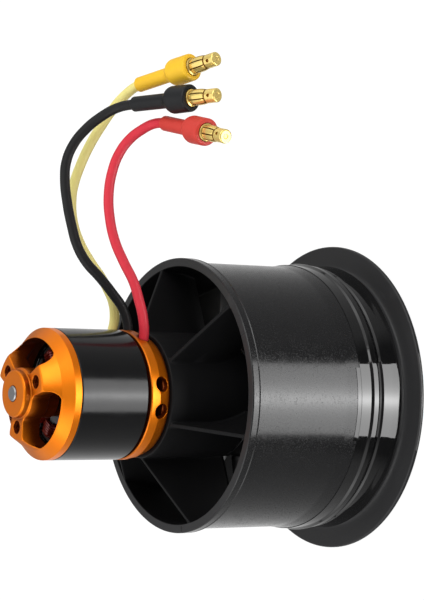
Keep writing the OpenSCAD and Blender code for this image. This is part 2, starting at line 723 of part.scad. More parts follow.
module spinner() {
    height = spinner_z - spinner_nose_z;
    steps = 16;
    color("#c2c5c9") difference() {
        rotate_extrude() polygon(concat(
            arc_points([0, spinner_z], spinner_r, height, 0, -90, steps),
            arc_points([0, spinner_z], spinner_r - spinner_wall, height - spinner_nose_t, -90, 0, steps)));
        cylinder(r = spinner_screw_r + 2 * fit_gap, h = spinner_z);
        cylinder(r = spinner_screw_head_r + 2 * fit_gap, h = spinner_nose_z + spinner_screw_head_h);
    }
}

module spinner_screw() {
    head_z = spinner_nose_z + 0.1;
    socket_r = 0.75;
    color("#5c5f63") difference() {
        union() {
            translate([0, 0, head_z])
                cylinder(r = spinner_screw_head_r, h = spinner_screw_head_h - 0.1 - fit_gap / 2);
            translate([0, 0, head_z])
                cylinder(r = spinner_screw_r, h = spinner_screw_head_h + spinner_screw_len);
        }
        translate([0, 0, head_z - cut]) cylinder(r = socket_r, h = cut + 0.7, $fn = 6);
    }
}

// Lead from the base into its sleeve, where it meets the solder cup
module lead(route, tip) {
    mouth = route[len(route) - 1];
    tube(concat(route, [mouth + sleeve_len * unit(tip - mouth)]), lead_d, 8);
}

module red_lead() { color("#e8414f") lead(red_route, red_tip); }
module black_lead() { color("#2b2c2e") lead(black_route, black_tip); }
module yellow_lead() { color("#d2c468") lead(yellow_route, yellow_tip); }

// Shrunk sleeve over a lead's end and the solder cup
module sleeve(route, tip) {
    slope = 1.4;
    throat_r = lead_d / 2 + fit_gap;
    cup_r = bullet_cup_d / 2 + fit_gap;
    along(route[len(route) - 1], tip) rotate_extrude() polygon([
        [throat_r, 0], [sleeve_d / 2, 0], [sleeve_d / 2, sleeve_len - 0.3],
        [sleeve_cup_d / 2, sleeve_len - 0.3 + slope], [sleeve_cup_d / 2, sleeve_total],
        [cup_r, sleeve_total], [cup_r, sleeve_len + 0.4], [throat_r, sleeve_len + 0.4]]);
}

module red_sleeve() { color("#d84a42") sleeve(red_route, red_tip); }
module black_sleeve() { color("#2f3033") sleeve(black_route, black_tip); }
module yellow_sleeve() { color("#f5c431") sleeve(yellow_route, yellow_tip); }

// Bullet connector: solder cup, collar, bowed spring cage and solid head
module bullet(route, tip) {
    cup_r = bullet_cup_d / 2;
    neck_r = 1.3;
    head_r = 1.5;
    head_len = 2.4;
    shoulder_h = 0.5;
    cage_z = sleeve_total + shoulder_h + 0.4;
    cage_end = bullet_total - head_len - 0.4;
    slots = 8;
    bow = [for (i = [0:6]) let (t = i / 6)
        [neck_r + 0.1 + (bullet_d / 2 - neck_r - 0.1) * sin(180 * t), cage_z + (cage_end - cage_z) * t]];
    color("#e0b040") along(route[len(route) - 1], tip) difference() {
        rotate_extrude() polygon(concat(
            [[0, sleeve_len + 0.45], [cup_r, sleeve_len + 0.45], [cup_r, sleeve_total + shoulder_h],
             [neck_r, sleeve_total + shoulder_h]],
            bow,
            [[neck_r, cage_end], [neck_r, cage_end + 0.4], [head_r, cage_end + 0.4],
             [head_r, bullet_total - 0.3], [head_r - 0.3, bullet_total], [0, bullet_total]]));
        for (i = [0:slots - 1]) rotate([0, 0, 360 * i / slots])
            translate([neck_r, -0.12, cage_z + 0.3]) cube([1, 0.24, cage_end - cage_z - 0.6]);
    }
}

module red_bullet() { bullet(red_route, red_tip); }
module black_bullet() { bullet(black_route, black_tip); }
module yellow_bullet() { bullet(yellow_route, yellow_tip); }

duct_housing();
inlet_lip();
seam_tape();
stator_hub();
guide_vanes();
motor_base();
motor_screws();
stator_core();
windings();
bearing_outer_rings();
bearing_balls();
bearing_inner_rings();
motor_shaft();
shaft_circlip();
thrust_washer();
rotor_bell();
flux_can();
magnets();
fan_rotor();
fan_adapter();
fan_nut();
spinner();
spinner_screw();
red_lead();
black_lead();
yellow_lead();
red_sleeve();
black_sleeve();
yellow_sleeve();
red_bullet();
black_bullet();
yellow_bullet();
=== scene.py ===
"""Dresses the electric ducted fan unit: camera, light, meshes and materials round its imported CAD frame.

Sizes in the classes are millimetres, as in the part's source. A mesh is turned to metres when it is made.
"""

from __future__ import annotations

import logging
import math
from dataclasses import dataclass, field
from enum import Enum
from functools import cache
from typing import Any, Callable, Mapping, Optional, Sequence, Union

import bmesh
import bpy
from mathutils import Matrix, Quaternion, Vector
from mathutils.geometry import delaunay_2d_cdt

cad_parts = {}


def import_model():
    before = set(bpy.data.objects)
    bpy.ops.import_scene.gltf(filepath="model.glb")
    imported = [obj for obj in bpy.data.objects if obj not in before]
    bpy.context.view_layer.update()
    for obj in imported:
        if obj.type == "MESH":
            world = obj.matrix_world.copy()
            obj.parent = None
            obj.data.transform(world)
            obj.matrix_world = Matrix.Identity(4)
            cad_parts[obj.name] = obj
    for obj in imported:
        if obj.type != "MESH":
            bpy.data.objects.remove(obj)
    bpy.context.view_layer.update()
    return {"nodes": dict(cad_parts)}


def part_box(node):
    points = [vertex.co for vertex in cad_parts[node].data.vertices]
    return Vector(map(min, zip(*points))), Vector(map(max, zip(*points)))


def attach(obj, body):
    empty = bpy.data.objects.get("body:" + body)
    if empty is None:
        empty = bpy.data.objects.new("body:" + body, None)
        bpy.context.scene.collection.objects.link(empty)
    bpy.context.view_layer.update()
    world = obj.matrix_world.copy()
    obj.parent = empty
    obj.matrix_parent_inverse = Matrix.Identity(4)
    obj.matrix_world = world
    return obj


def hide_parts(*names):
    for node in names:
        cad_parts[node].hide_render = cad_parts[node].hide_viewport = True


LOG = logging.getLogger("ducted_fan")
MM = 0.001

# Points closer than this, in millimetres, become one.
WELD = 0.0005
# Edges that turn by more than this, in degrees, stay sharp in the shading.
CREASE = 40.0
# Segments of a turned piece.
SEGMENTS = 192
# Blender's wave texture has twenty radians to a unit of its scale.
WAVE_PERIOD = math.tau / 20

Corner = tuple[float, float, float]
Outline = list[tuple[float, float]]
Point = tuple[float, float, float]
Wave = Callable[[float, float, float], tuple[float, float]]
Lift = Callable[[Vector], Point]
Inputs = Mapping[Union[str, int], Any]


class Body(Enum):
    """CAD body that a piece rides on."""

    DUCT = "duct_unit"
    ROTOR = "rotor"


class Marks(Enum):
    """Way that a tool's marks run on a metal surface."""

    RINGS = "RINGS"
    BANDS = "BANDS"


def linear(colour: str) -> tuple[float, float, float, float]:
    """Turns an sRGB hex colour to linear light.

    Args:
        colour: Colour such as "#e8881a".

    Returns:
        Red, green, blue and full opacity.
    """
    shares = [int(colour[i:i + 2], 16) / 255 for i in (1, 3, 5)]
    red, green, blue = (s / 12.92 if s <= 0.04045 else ((s + 0.055) / 1.055) ** 2.4 for s in shares)
    return red, green, blue, 1.0


def per_mm(size: float) -> float:
    """Returns the texture scale whose features are about a size in millimetres."""
    return 1 / (size * MM)


def add_node(
    tree: bpy.types.NodeTree, kind: str, inputs: Optional[Inputs] = None, **settings: Any,
) -> bpy.types.Node:
    """Adds a node with its settings, values and links.

    Args:
        tree: Node tree that receives the node.
        kind: Blender's name of the node.
        inputs: Value or linked socket of each input, by the input's name or place.
        **settings: Attributes of the node.

    Returns:
        The new node.
    """
    node = tree.nodes.new(kind)
    for name, value in settings.items():
        setattr(node, name, value)
    for key, value in (inputs or {}).items():
        if isinstance(value, bpy.types.NodeSocket):
            tree.links.new(value, node.inputs[key])
        else:
            node.inputs[key].default_value = value
    return node


def blank_tree(owner: Union[bpy.types.Material, bpy.types.World]) -> bpy.types.NodeTree:
    """Turns on the nodes of a material or a world, and clears them.

    Args:
        owner: Material or world.

    Returns:
        Its empty node tree.
    """
    owner.use_nodes = True
    owner.node_tree.nodes.clear()
    return owner.node_tree


def add_object(name: str, data: bpy.types.ID) -> bpy.types.Object:
    """Makes an object and links it to the scene.

    Args:
        name: Name of the object.
        data: Its mesh, curve, lamp or camera.

    Returns:
        The object, at the origin.
    """
    made = bpy.data.objects.new(name, data)
    bpy.context.scene.collection.objects.link(made)
    return made


def set_greys(ramp: bpy.types.ColorRamp, stops: Sequence[tuple[float, float]]) -> None:
    """Gives a new ramp its grey levels.

    Args:
        ramp: Ramp with its two first stops.
        stops: Place and level of each stop, from low to high.
    """
    steps = ramp.elements
    while len(steps) < len(stops):
        steps.new(1.0)
    for step, (place, level) in zip(steps, stops):
        step.position = place
        step.color = (level, level, level, 1.0)


@dataclass(frozen=True)
class Finish:
    """What a surface is made of: the material's name and its slot's name. A subclass draws its shader."""

    name: str
    slot: str

    @cache
    def material(self) -> bpy.types.Material:
        """Makes the material at its first use.

        Returns:
            The material, the same one each time.
        """
        made = bpy.data.materials.new(self.name)
        tree = blank_tree(made)
        shader = self.shader(tree)
        add_node(tree, "ShaderNodeOutputMaterial", {"Surface": shader.outputs["BSDF"]})
        return made

    def shader(self, tree: bpy.types.NodeTree) -> bpy.types.Node:
        """Adds the finish's nodes to a tree and returns its shader."""
        raise NotImplementedError


@dataclass(frozen=True)
class MouldedNylon(Finish):
    """Black nylon from a spark-eroded mould: fine dull pits break its sheen, and sharp edges are lighter."""

    colour: str
    edge_tone: str
    roughness: float
    grain_mm: float
    grain_depth_mm: float
    cloud_mm: float = 7.0
    sheen: float = 0.5
    pitting: float = 0.1

    def shader(self, tree: bpy.types.NodeTree) -> bpy.types.Node:
        """Adds the grain, its dull pits, the uneven sheen and the lighter edges.

        Args:
            tree: Node tree that receives the nodes.

        Returns:
            The shader's node.
        """
        place = add_node(tree, "ShaderNodeTexCoord").outputs["Object"]
        grain = add_node(tree, "ShaderNodeTexNoise", {
            "Vector": place, "Scale": per_mm(self.grain_mm), "Detail": 3.0, "Roughness": 0.65})
        cloud = add_node(tree, "ShaderNodeTexNoise", {
            "Vector": place, "Scale": per_mm(self.cloud_mm), "Detail": 3.0, "Roughness": 0.55})
        # Sharp edges, found by pointiness, take a lighter tone.
        edge = add_node(tree, "ShaderNodeMapRange", {
            "Value": add_node(tree, "ShaderNodeNewGeometry").outputs["Pointiness"],
            "From Min": 0.52, "From Max": 0.60, "To Min": 0.0, "To Max": 0.6})
        tone = add_node(tree, "ShaderNodeMix", {
            0: edge.outputs["Result"], 6: linear(self.colour), 7: linear(self.edge_tone)}, data_type="RGBA")
        uneven = add_node(tree, "ShaderNodeMath", {
            0: grain.outputs["Fac"], 1: cloud.outputs["Fac"]}, operation="ADD")
        rough = add_node(tree, "ShaderNodeMapRange", {
            "Value": uneven.outputs["Value"], "From Min": 0.7, "From Max": 1.3,
            "To Min": self.roughness - 0.05, "To Max": self.roughness + 0.07})
        pits = add_node(tree, "ShaderNodeMapRange", {
            "Value": grain.outputs["Fac"], "From Min": 0.36, "From Max": 0.5,
            "To Min": self.pitting, "To Max": 0.0})
        dull = add_node(tree, "ShaderNodeMath", {
            0: rough.outputs["Result"], 1: pits.outputs["Result"]}, operation="ADD")
        bump = add_node(tree, "ShaderNodeBump", {
            "Height": grain.outputs["Fac"], "Strength": 0.6, "Distance": self.grain_depth_mm * MM})
        return add_node(tree, "ShaderNodeBsdfPrincipled", {
            "Base Color": tone.outputs[2], "Roughness": dull.outputs["Value"], "IOR": 1.53,
            "Specular IOR Level": self.sheen, "Normal": bump.outputs["Normal"]})


@dataclass(frozen=True)
class ClearFilm(Finish):
    """Clear polyester tape on black: the plastic shows through, and the film adds a hard wet gloss."""

    colour: str
    roughness: float
    ripple_mm: float
    ripple_depth_mm: float
    dust_mm: float = 0.5

    def shader(self, tree: bpy.types.NodeTree) -> bpy.types.Node:
        """Adds the film's ripples and dust over the dark ground.

        Args:
            tree: Node tree that receives the nodes.

        Returns:
            The shader's node.
        """
        place = add_node(tree, "ShaderNodeTexCoord").outputs["Object"]
        ripple = add_node(tree, "ShaderNodeTexNoise", {
            "Vector": place, "Scale": per_mm(self.ripple_mm), "Detail": 2.0, "Roughness": 0.4})
        dust = add_node(tree, "ShaderNodeTexNoise", {
            "Vector": place, "Scale": per_mm(self.dust_mm), "Detail": 4.0, "Roughness": 0.7})
        rough = add_node(tree, "ShaderNodeMapRange", {
            "Value": dust.outputs["Fac"], "From Min": 0.45, "From Max": 0.75,
            "To Min": self.roughness, "To Max": self.roughness + 0.12})
        bump = add_node(tree, "ShaderNodeBump", {
            "Height": ripple.outputs["Fac"], "Strength": 0.5, "Distance": self.ripple_depth_mm * MM})
        return add_node(tree, "ShaderNodeBsdfPrincipled", {
            "Base Color": linear(self.colour), "Roughness": rough.outputs["Result"], "IOR": 1.57,
            "Normal": bump.outputs["Normal"]})


@dataclass(frozen=True)
class Metal(Finish):
    """Metal with the marks of its tool: a lathe's rings, or the bands of grinding and drawing."""

    colour: str
    shade: str
    roughness: float
    marks: Marks
    mark_mm: float
    mark_depth_mm: float
    cloud_mm: float = 3.5
    metallic: float = 1.0
    coat: float = 0.0
    sheen: float = 0.5
    painted_shade: str = ""
    painted_shade_mm: float = 3.0

    def shader(self, tree: bpy.types.NodeTree) -> bpy.types.Node:
        """Adds the tool's marks, an uneven polish and painted shade in hollows.

        Args:
            tree: Node tree that receives the nodes.

        Returns:
            The shader's node.
        """
        place = add_node(tree, "ShaderNodeTexCoord").outputs["Object"]
        direction = {"rings_direction": "Z"} if self.marks is Marks.RINGS else {"bands_direction": "Z"}
        mark = add_node(tree, "ShaderNodeTexWave", {
            "Vector": place, "Scale": WAVE_PERIOD * per_mm(self.mark_mm), "Distortion": 1.2, "Detail": 2.0,
            "Detail Scale": 1.5}, wave_type=self.marks.value, **direction)
        cloud = add_node(tree, "ShaderNodeTexNoise", {
            "Vector": place, "Scale": per_mm(self.cloud_mm), "Detail": 4.0, "Roughness": 0.6})
        tone = add_node(tree, "ShaderNodeMix", {
            0: cloud.outputs["Fac"], 6: linear(self.colour), 7: linear(self.shade)}, data_type="RGBA")
        # Painted shade: hollows that ambient occlusion finds take the darker colour.
        if self.painted_shade:
            open_share = add_node(tree, "ShaderNodeAmbientOcclusion", {"Distance": self.painted_shade_mm * MM})
            lit = add_node(tree, "ShaderNodeMapRange", {
                "Value": open_share.outputs["AO"], "From Min": 0.58, "From Max": 0.97,
                "To Min": 0.0, "To Max": 1.0})
            tone = add_node(tree, "ShaderNodeMix", {
                0: lit.outputs["Result"], 6: linear(self.painted_shade), 7: tone.outputs[2]}, data_type="RGBA")
        rough = add_node(tree, "ShaderNodeMapRange", {
            "Value": cloud.outputs["Fac"], "From Min": 0.3, "From Max": 0.7,
            "To Min": self.roughness - 0.03, "To Max": self.roughness + 0.04})
        bump = add_node(tree, "ShaderNodeBump", {
            "Height": mark.outputs["Fac"], "Strength": 0.5, "Distance": self.mark_depth_mm * MM})
        return add_node(tree, "ShaderNodeBsdfPrincipled", {
            "Base Color": tone.outputs[2], "Metallic": self.metallic, "Roughness": rough.outputs["Result"],
            "Specular IOR Level": self.sheen, "Coat Weight": self.coat, "Coat Roughness": 0.2,
            "Normal": bump.outputs["Normal"]})


@dataclass(frozen=True)
class SoftSkin(Finish):
    """Skin of a lead: silicone rubber or a shrunk polyolefin sleeve, with a dull sheen and slight dents."""

    colour: str
    shade: str
    roughness: float
    dent_mm: float
    dent_depth_mm: float
    speck_mm: float = 0.4
    sheen: float = 0.3

    def shader(self, tree: bpy.types.NodeTree) -> bpy.types.Node:
        """Adds the dents and the dusty specks.

        Args:
            tree: Node tree that receives the nodes.

        Returns:
            The shader's node.
        """
        place = add_node(tree, "ShaderNodeTexCoord").outputs["Object"]
        dent = add_node(tree, "ShaderNodeTexNoise", {
            "Vector": place, "Scale": per_mm(self.dent_mm), "Detail": 3.0, "Roughness": 0.5})
        speck = add_node(tree, "ShaderNodeTexNoise", {
            "Vector": place, "Scale": per_mm(self.speck_mm), "Detail": 3.0, "Roughness": 0.7})
        tone = add_node(tree, "ShaderNodeMix", {
            0: dent.outputs["Fac"], 6: linear(self.colour), 7: linear(self.shade)}, data_type="RGBA")
        rough = add_node(tree, "ShaderNodeMapRange", {
            "Value": speck.outputs["Fac"], "From Min": 0.3, "From Max": 0.7,
            "To Min": self.roughness - 0.06, "To Max": self.roughness + 0.08})
        bump = add_node(tree, "ShaderNodeBump", {
            "Height": dent.outputs["Fac"], "Strength": 0.5, "Distance": self.dent_depth_mm * MM})
        return add_node(tree, "ShaderNodeBsdfPrincipled", {
            "Base Color": tone.outputs[2], "Roughness": rough.outputs["Result"], "IOR": 1.43,
            "Specular IOR Level": self.sheen, "Normal": bump.outputs["Normal"]})


# Glass-filled black nylon with a fine satin grain; the grain is drawn coarser than it is, so that it shows.
DUCT_NYLON = MouldedNylon(
    "black_nylon_satin", "duct_plastic", "#1a1a1b", "#262627", roughness=0.14, grain_mm=0.26,
    grain_depth_mm=0.006, cloud_mm=2.0, sheen=0.35, pitting=0.27)
# The same nylon on the lip and on the duct's end, with a softer and more even sheen.
# Its lighter colour is painted light.
LIT_NYLON = MouldedNylon(
    "black_nylon_lit", "lip_plastic", "#303031", "#373738", roughness=0.36, grain_mm=0.5,
    grain_depth_mm=0.006, cloud_mm=5.0, sheen=0.23)
# The same nylon inside the duct, on the hub and on the vanes, dull with dust.
# Its darker colour is painted shade.
SHADED_NYLON = MouldedNylon(
    "black_nylon_shaded", "duct_plastic", "#131314", "#202021", roughness=0.5, grain_mm=0.4,
    grain_depth_mm=0.01, cloud_mm=4.0, sheen=0.11)
# Plain black nylon of the fan, a little glossier.
FAN_NYLON = MouldedNylon(
    "black_nylon_fan", "fan_plastic", "#151515", "#222222", roughness=0.3, grain_mm=0.45,
    grain_depth_mm=0.008, cloud_mm=4.0, sheen=0.37)
# Clear tape whose gloss gives hard reflections over the black joint.
TAPE_FILM = ClearFilm(
    "clear_film_on_black", "clear_tape", "#0d0d0e", roughness=0.03, ripple_mm=5.0, ripple_depth_mm=0.012)
# Aluminium turned on a lathe, then anodised orange: satin metal, its hollows painted deep brown as shade.
# The lathe's rings are drawn coarser than a fine cut leaves them, so that they show.
ORANGE_ANODISED = Metal(
    "orange_anodised_aluminium", "orange_anodised", "#f28410", "#ea7708", roughness=0.34,
    marks=Marks.RINGS, mark_mm=0.3, mark_depth_mm=0.004, metallic=0.68, coat=0.12, sheen=0.1,
    painted_shade="#6a2a06", painted_shade_mm=12.0)
# Drawn steel tube under thin black paint, with faint lines round it.
BLACK_STEEL = Metal(
    "black_painted_steel", "black_steel", "#121213", "#0f0f10", roughness=0.17, marks=Marks.BANDS,
    mark_mm=0.35, mark_depth_mm=0.002, metallic=0.0, sheen=0.3)
# Ground steel of shaft, screws and bearings.
GROUND_STEEL = Metal(
    "ground_steel", "steel", "#adaeb1", "#96979a", roughness=0.34, marks=Marks.BANDS, mark_mm=0.25,
    mark_depth_mm=0.003)
# Steel darkened by hot oil, for the clip and the small screw.
OILED_STEEL = Metal(
    "oil_blackened_steel", "dark_steel", "#55575b", "#45474b", roughness=0.38, marks=Marks.BANDS,
    mark_mm=0.25, mark_depth_mm=0.003)
# Stack of coated steel sheets, drawn 0.35 mm thick.
LAMINATED_STEEL = Metal(
    "stacked_sheet_steel", "laminated_steel", "#8d9094", "#6f7276", roughness=0.42, marks=Marks.BANDS,
    mark_mm=0.35, mark_depth_mm=0.03)
# Bright nickel plating on the magnets.
NICKEL_PLATE = Metal(
    "nickel_plate", "magnet", "#b8b6b0", "#a5a39d", roughness=0.24, marks=Marks.BANDS, mark_mm=0.4,
    mark_depth_mm=0.002)
# Aluminium turned and left bare, with fine rings.
TURNED_ALUMINIUM = Metal(
    "turned_aluminium", "bare_aluminium", "#d3d5d8", "#c0c2c6", roughness=0.28, marks=Marks.RINGS,
    mark_mm=0.3, mark_depth_mm=0.004)
# Plain brass of the thrust washer.
PLAIN_BRASS = Metal(
    "plain_brass", "brass", "#c9ae62", "#b89c50", roughness=0.3, marks=Marks.RINGS, mark_mm=0.25,
    mark_depth_mm=0.003)
# Thin gold over turned brass: warm yellow, bright, a little uneven, its slots painted brown as shade.
GILT_BRASS = Metal(
    "gold_over_brass", "gilt_brass", "#fbe28c", "#f4d270", roughness=0.22, marks=Marks.BANDS, mark_mm=0.3,
    mark_depth_mm=0.003, metallic=0.55, painted_shade="#9a661c", painted_shade_mm=0.5)
# Copper wire under clear red enamel: a glossy dark red with the metal under it.
RED_ENAMEL = Metal(
    "red_enamelled_copper", "enamelled_wire", "#a8301c", "#7d1d12", roughness=0.32, marks=Marks.BANDS,
    mark_mm=0.5, mark_depth_mm=0.004, metallic=0.45, coat=0.8)
# Silicone insulation: soft sheen, flat colour, slightly dusty.
RED_SILICONE = SoftSkin(
    "red_silicone_skin", "red_silicone", "#dd3848", "#d4303f", roughness=0.45, dent_mm=1.6,
    dent_depth_mm=0.02)
BLACK_SILICONE = SoftSkin(
    "black_silicone_skin", "black_silicone", "#1f1f20", "#1a1a1b", roughness=0.45, dent_mm=1.6,
    dent_depth_mm=0.02)
YELLOW_SILICONE = SoftSkin(
    "cream_yellow_silicone", "yellow_silicone", "#fbf09a", "#f2e58a", roughness=0.45, dent_mm=1.6,
    dent_depth_mm=0.02)
# Polyolefin sleeves, shrunk by hot air: dull, with soft dents where they follow what is under them.
RED_POLYOLEFIN = SoftSkin(
    "red_polyolefin", "red_sleeve", "#d8463c", "#cc3c34", roughness=0.45, dent_mm=2.4, dent_depth_mm=0.05)
BLACK_POLYOLEFIN = SoftSkin(
    "black_polyolefin", "black_sleeve", "#1f2022", "#191a1c", roughness=0.45, dent_mm=2.4,
    dent_depth_mm=0.05)
YELLOW_POLYOLEFIN = SoftSkin(
    "yellow_polyolefin", "yellow_sleeve", "#fdcb33", "#f6c12b", roughness=0.45, dent_mm=2.4,
    dent_depth_mm=0.05)


def rounded(corners: Sequence[Corner], closed: bool = True, steps: int = 4) -> Outline:
    """Rounds the corners of an outline.

    Points close to each arc, a margin from its ends, keep the shading of the straight runs flat.

    Args:
        corners: Radius, height and rounding of each corner.
        closed: Whether the last corner joins the first.
        steps: Segments of each arc.

    Returns:
        Points of the rounded outline.
    """
    margin, most_of_run = 0.04, 0.48
    points: Outline = []
    for i, (x, y, radius) in enumerate(corners):
        here = Vector((x, y))
        if radius <= 0 or (not closed and i in (0, len(corners) - 1)):
            points.append((x, y))
            continue
        back = Vector(corners[i - 1][:2]) - here
        ahead = Vector(corners[(i + 1) % len(corners)][:2]) - here
        half = back.angle(ahead) / 2
        reach = min(radius / math.tan(half), most_of_run * back.length, most_of_run * ahead.length)
        size = reach * math.tan(half)
        back_unit, ahead_unit = back.normalized(), ahead.normalized()
        centre = here + (back_unit + ahead_unit).normalized() * (size / math.sin(half))
        first = here + back_unit * reach - centre
        last = here + ahead_unit * reach - centre
        start = math.atan2(first.y, first.x)
        turn = (math.atan2(last.y, last.x) - start + math.pi) % math.tau - math.pi
        if back.length - reach > 4 * margin:
            points.append(tuple(here + back_unit * (reach + margin)))
        for k in range(steps + 1):
            angle = start + turn * k / steps
            points.append((centre.x + size * math.cos(angle), centre.y + size * math.sin(angle)))
        if ahead.length - reach > 4 * margin:
            points.append(tuple(here + ahead_unit * (reach + margin)))
    return points


def arc(centre: Vector, radius: float, first: float, last: float, steps: int) -> list[Vector]:
    """Returns the points of an arc from one angle to another, both ends included."""
    angles = (first + (last - first) * k / steps for k in range(steps + 1))
    return [centre + Vector((math.cos(a), math.sin(a))) * radius for a in angles]


def height_at(profile: Outline, radius: float) -> float:
    """Finds the height of a profile at a radius.

    Args:
        profile: Radius and height of each point. The radii grow.
        radius: Radius at which the height is asked.

    Returns:
        The height on the straight line between the two nearest points.
    """
    for (r0, z0), (r1, z1) in zip(profile, profile[1:]):
        if radius <= r1:
            share = (radius - r0) / (r1 - r0) if r1 > r0 else 0.0
            return z0 + (z1 - z0) * max(share, 0.0)
    return profile[-1][1]


def edge_drop(distance: float, radius: float) -> float:
    """Finds how far a rounded edge has dropped.

    Args:
        distance: Distance from the edge, towards the flat.
        radius: Rounding of the edge.

    Returns:
        The drop below the flat, which is nought beyond the rounding.
    """
    if distance >= radius:
        return 0.0
    inward = radius - max(distance, 0.0)
    return radius - math.sqrt(radius * radius - inward * inward)


def revolve(
    mesh: bmesh.types.BMesh, outline: Outline, closed: bool = True, segments: int = SEGMENTS,
    start: float = 0.0, sweep: float = math.tau, wave: Optional[Wave] = None,
) -> None:
    """Adds the surface that an outline makes when it turns round the Z axis.

    Args:
        mesh: Mesh that receives the surface.
        outline: Radius and height of each point.
        closed: Whether the last point joins the first.
        segments: Steps of the turn.
        start: Angle at which the turn starts.
        sweep: Angle of the turn, which has end faces unless it is whole.
        wave: Moves a point, by its angle, radius and height.
    """
    whole = math.isclose(sweep, math.tau)
    columns = []
    for j in range(segments if whole else segments + 1):
        angle = start + sweep * j / segments
        moved = [wave(angle, r, z) for r, z in outline] if wave else outline
        columns.append([mesh.verts.new((r * math.cos(angle), r * math.sin(angle), z)) for r, z in moved])
    pairs = len(outline) if closed else len(outline) - 1
    for j in range(segments):
        near, far = columns[j], columns[(j + 1) % len(columns)]
        for i in range(pairs):
            k = (i + 1) % len(outline)
            mesh.faces.new((near[i], far[i], far[k], near[k]))
    if not whole:
        mesh.faces.new(columns[0])
        mesh.faces.new(reversed(columns[-1]))


def pierce(
    mesh: bmesh.types.BMesh, loops: Sequence[Outline], loose: Outline, inside: Callable[[Vector], bool],
    upper: Lift, lower: Lift, seam: Callable[[Vector], bool] = lambda point: False,
) -> None:
    """Adds a plate with holes: a plan, lifted to two surfaces, with walls along its edges.

    Args:
        mesh: Mesh that receives the plate.
        loops: Closed lines of the plan that edges have to follow.
        loose: Other points of the plan.
        inside: Whether a point of the plan lies on the plate.
        upper: Place of a plan point on the upper surface.
        lower: Place of a plan point on the lower surface.
        seam: Whether a point lies on a line where the plate meets itself and needs no wall.
    """
    plan = [Vector(p) for p in loose]
    edges = []
    for loop in loops:
        base = len(plan)
        plan.extend(Vector(p) for p in loop)
        edges.extend((base + i, base + (i + 1) % len(loop)) for i in range(len(loop)))
    points, _, faces, *_ = delaunay_2d_cdt(plan, edges, [], 0, 1e-5)
    kept = []
    for face in faces:
        middle = sum((points[i] for i in face), Vector((0.0, 0.0))) / len(face)
        if inside(middle):
            kept.append(list(face))
    used = sorted({i for face in kept for i in face})
    over = {i: mesh.verts.new(upper(points[i])) for i in used}
    under = {i: mesh.verts.new(lower(points[i])) for i in used}
    borders: dict[frozenset[int], Optional[tuple[int, int]]] = {}
    for face in kept:
        mesh.faces.new([over[i] for i in face])
        mesh.faces.new([under[i] for i in reversed(face)])
        for a, b in zip(face, face[1:] + face[:1]):
            pair = frozenset((a, b))
            borders[pair] = None if pair in borders else (a, b)
    for border in borders.values():
        if border and not (seam(points[border[0]]) and seam(points[border[1]])):
            a, b = border
            mesh.faces.new((over[b], over[a], under[a], under[b]))


def sweep_tube(mesh: bmesh.types.BMesh, path: Sequence[Vector], radius: float, sides: int) -> None:
    """Adds a closed tube along a route.

    Args:
        mesh: Mesh that receives the tube.
        path: Points of the route.
        radius: Radius of the tube.
        sides: Faces round the tube.
    """
    # Any direction along which no route starts.
    side = Vector((0.31, 0.52, 0.8))
    turns = [math.tau * j / sides for j in range(sides)]
    rings = []
    for i, point in enumerate(path):
        ahead = (path[min(i + 1, len(path) - 1)] - path[max(i - 1, 0)]).normalized()
        side = (side - ahead * side.dot(ahead)).normalized()
        other = ahead.cross(side)
        rings.append([mesh.verts.new(point + radius * (side * math.cos(t) + other * math.sin(t)))
                      for t in turns])
    for near, far in zip(rings, rings[1:]):
        for j in range(sides):
            k = (j + 1) % sides
            mesh.faces.new((near[j], near[k], far[k], far[j]))
    mesh.faces.new(reversed(rings[0]))
    mesh.faces.new(rings[-1])


def loft(mesh: bmesh.types.BMesh, sections: Sequence[Sequence[Point]]) -> None:
    """Adds a closed skin over sections.

    Args:
        mesh: Mesh that receives the skin.
        sections: Outlines, which all have the same number of points.
    """
    rings = [[mesh.verts.new(p) for p in section] for section in sections]
    count = len(rings[0])
    for near, far in zip(rings, rings[1:]):
        for j in range(count):
            k = (j + 1) % count
            mesh.faces.new((near[j], near[k], far[k], far[j]))
    mesh.faces.new(reversed(rings[0]))
    mesh.faces.new(rings[-1])


def as_object(
    name: str, mesh: bmesh.types.BMesh, place: Optional[Matrix] = None, faced: bool = False,
) -> bpy.types.Object:
    """Turns a mesh in millimetres into a smooth-shaded object in metres.

    Args:
        name: Name of the object.
        mesh: Mesh, which is freed.
        place: Moves the mesh to its place first, in millimetres.
        faced: Whether every face already points outwards.

    Returns:
        The object, linked to the scene, at the origin.
    """
    bmesh.ops.remove_doubles(mesh, verts=mesh.verts, dist=WELD)
    if not faced:
        bmesh.ops.recalc_face_normals(mesh, faces=mesh.faces)
    if place is not None:
        mesh.transform(place)
    mesh.transform(Matrix.Scale(MM, 4))
    data = bpy.data.meshes.new(name)
    mesh.to_mesh(data)
    mesh.free()
    data.shade_smooth()
    data.set_sharp_from_angle(angle=math.radians(CREASE))
    return add_object(name, data)


def fit_out(piece: bpy.types.Object, finish: Finish, body: Body, *nodes: str) -> bpy.types.Object:
    """Gives a piece its material, unless it has one, and sets it on its body.

    Args:
        piece: Piece in its place.
        finish: What it is made of.
        body: CAD body that it rides on.
        *nodes: CAD nodes that it stands for.

    Returns:
        The piece.
    """
    if not piece.data.materials:
        piece.data.materials.append(finish.material())
    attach(piece, body.value)
    if nodes:
        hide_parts(*nodes)
    LOG.info("%s rides on %s", piece.name, body.value)
    return piece


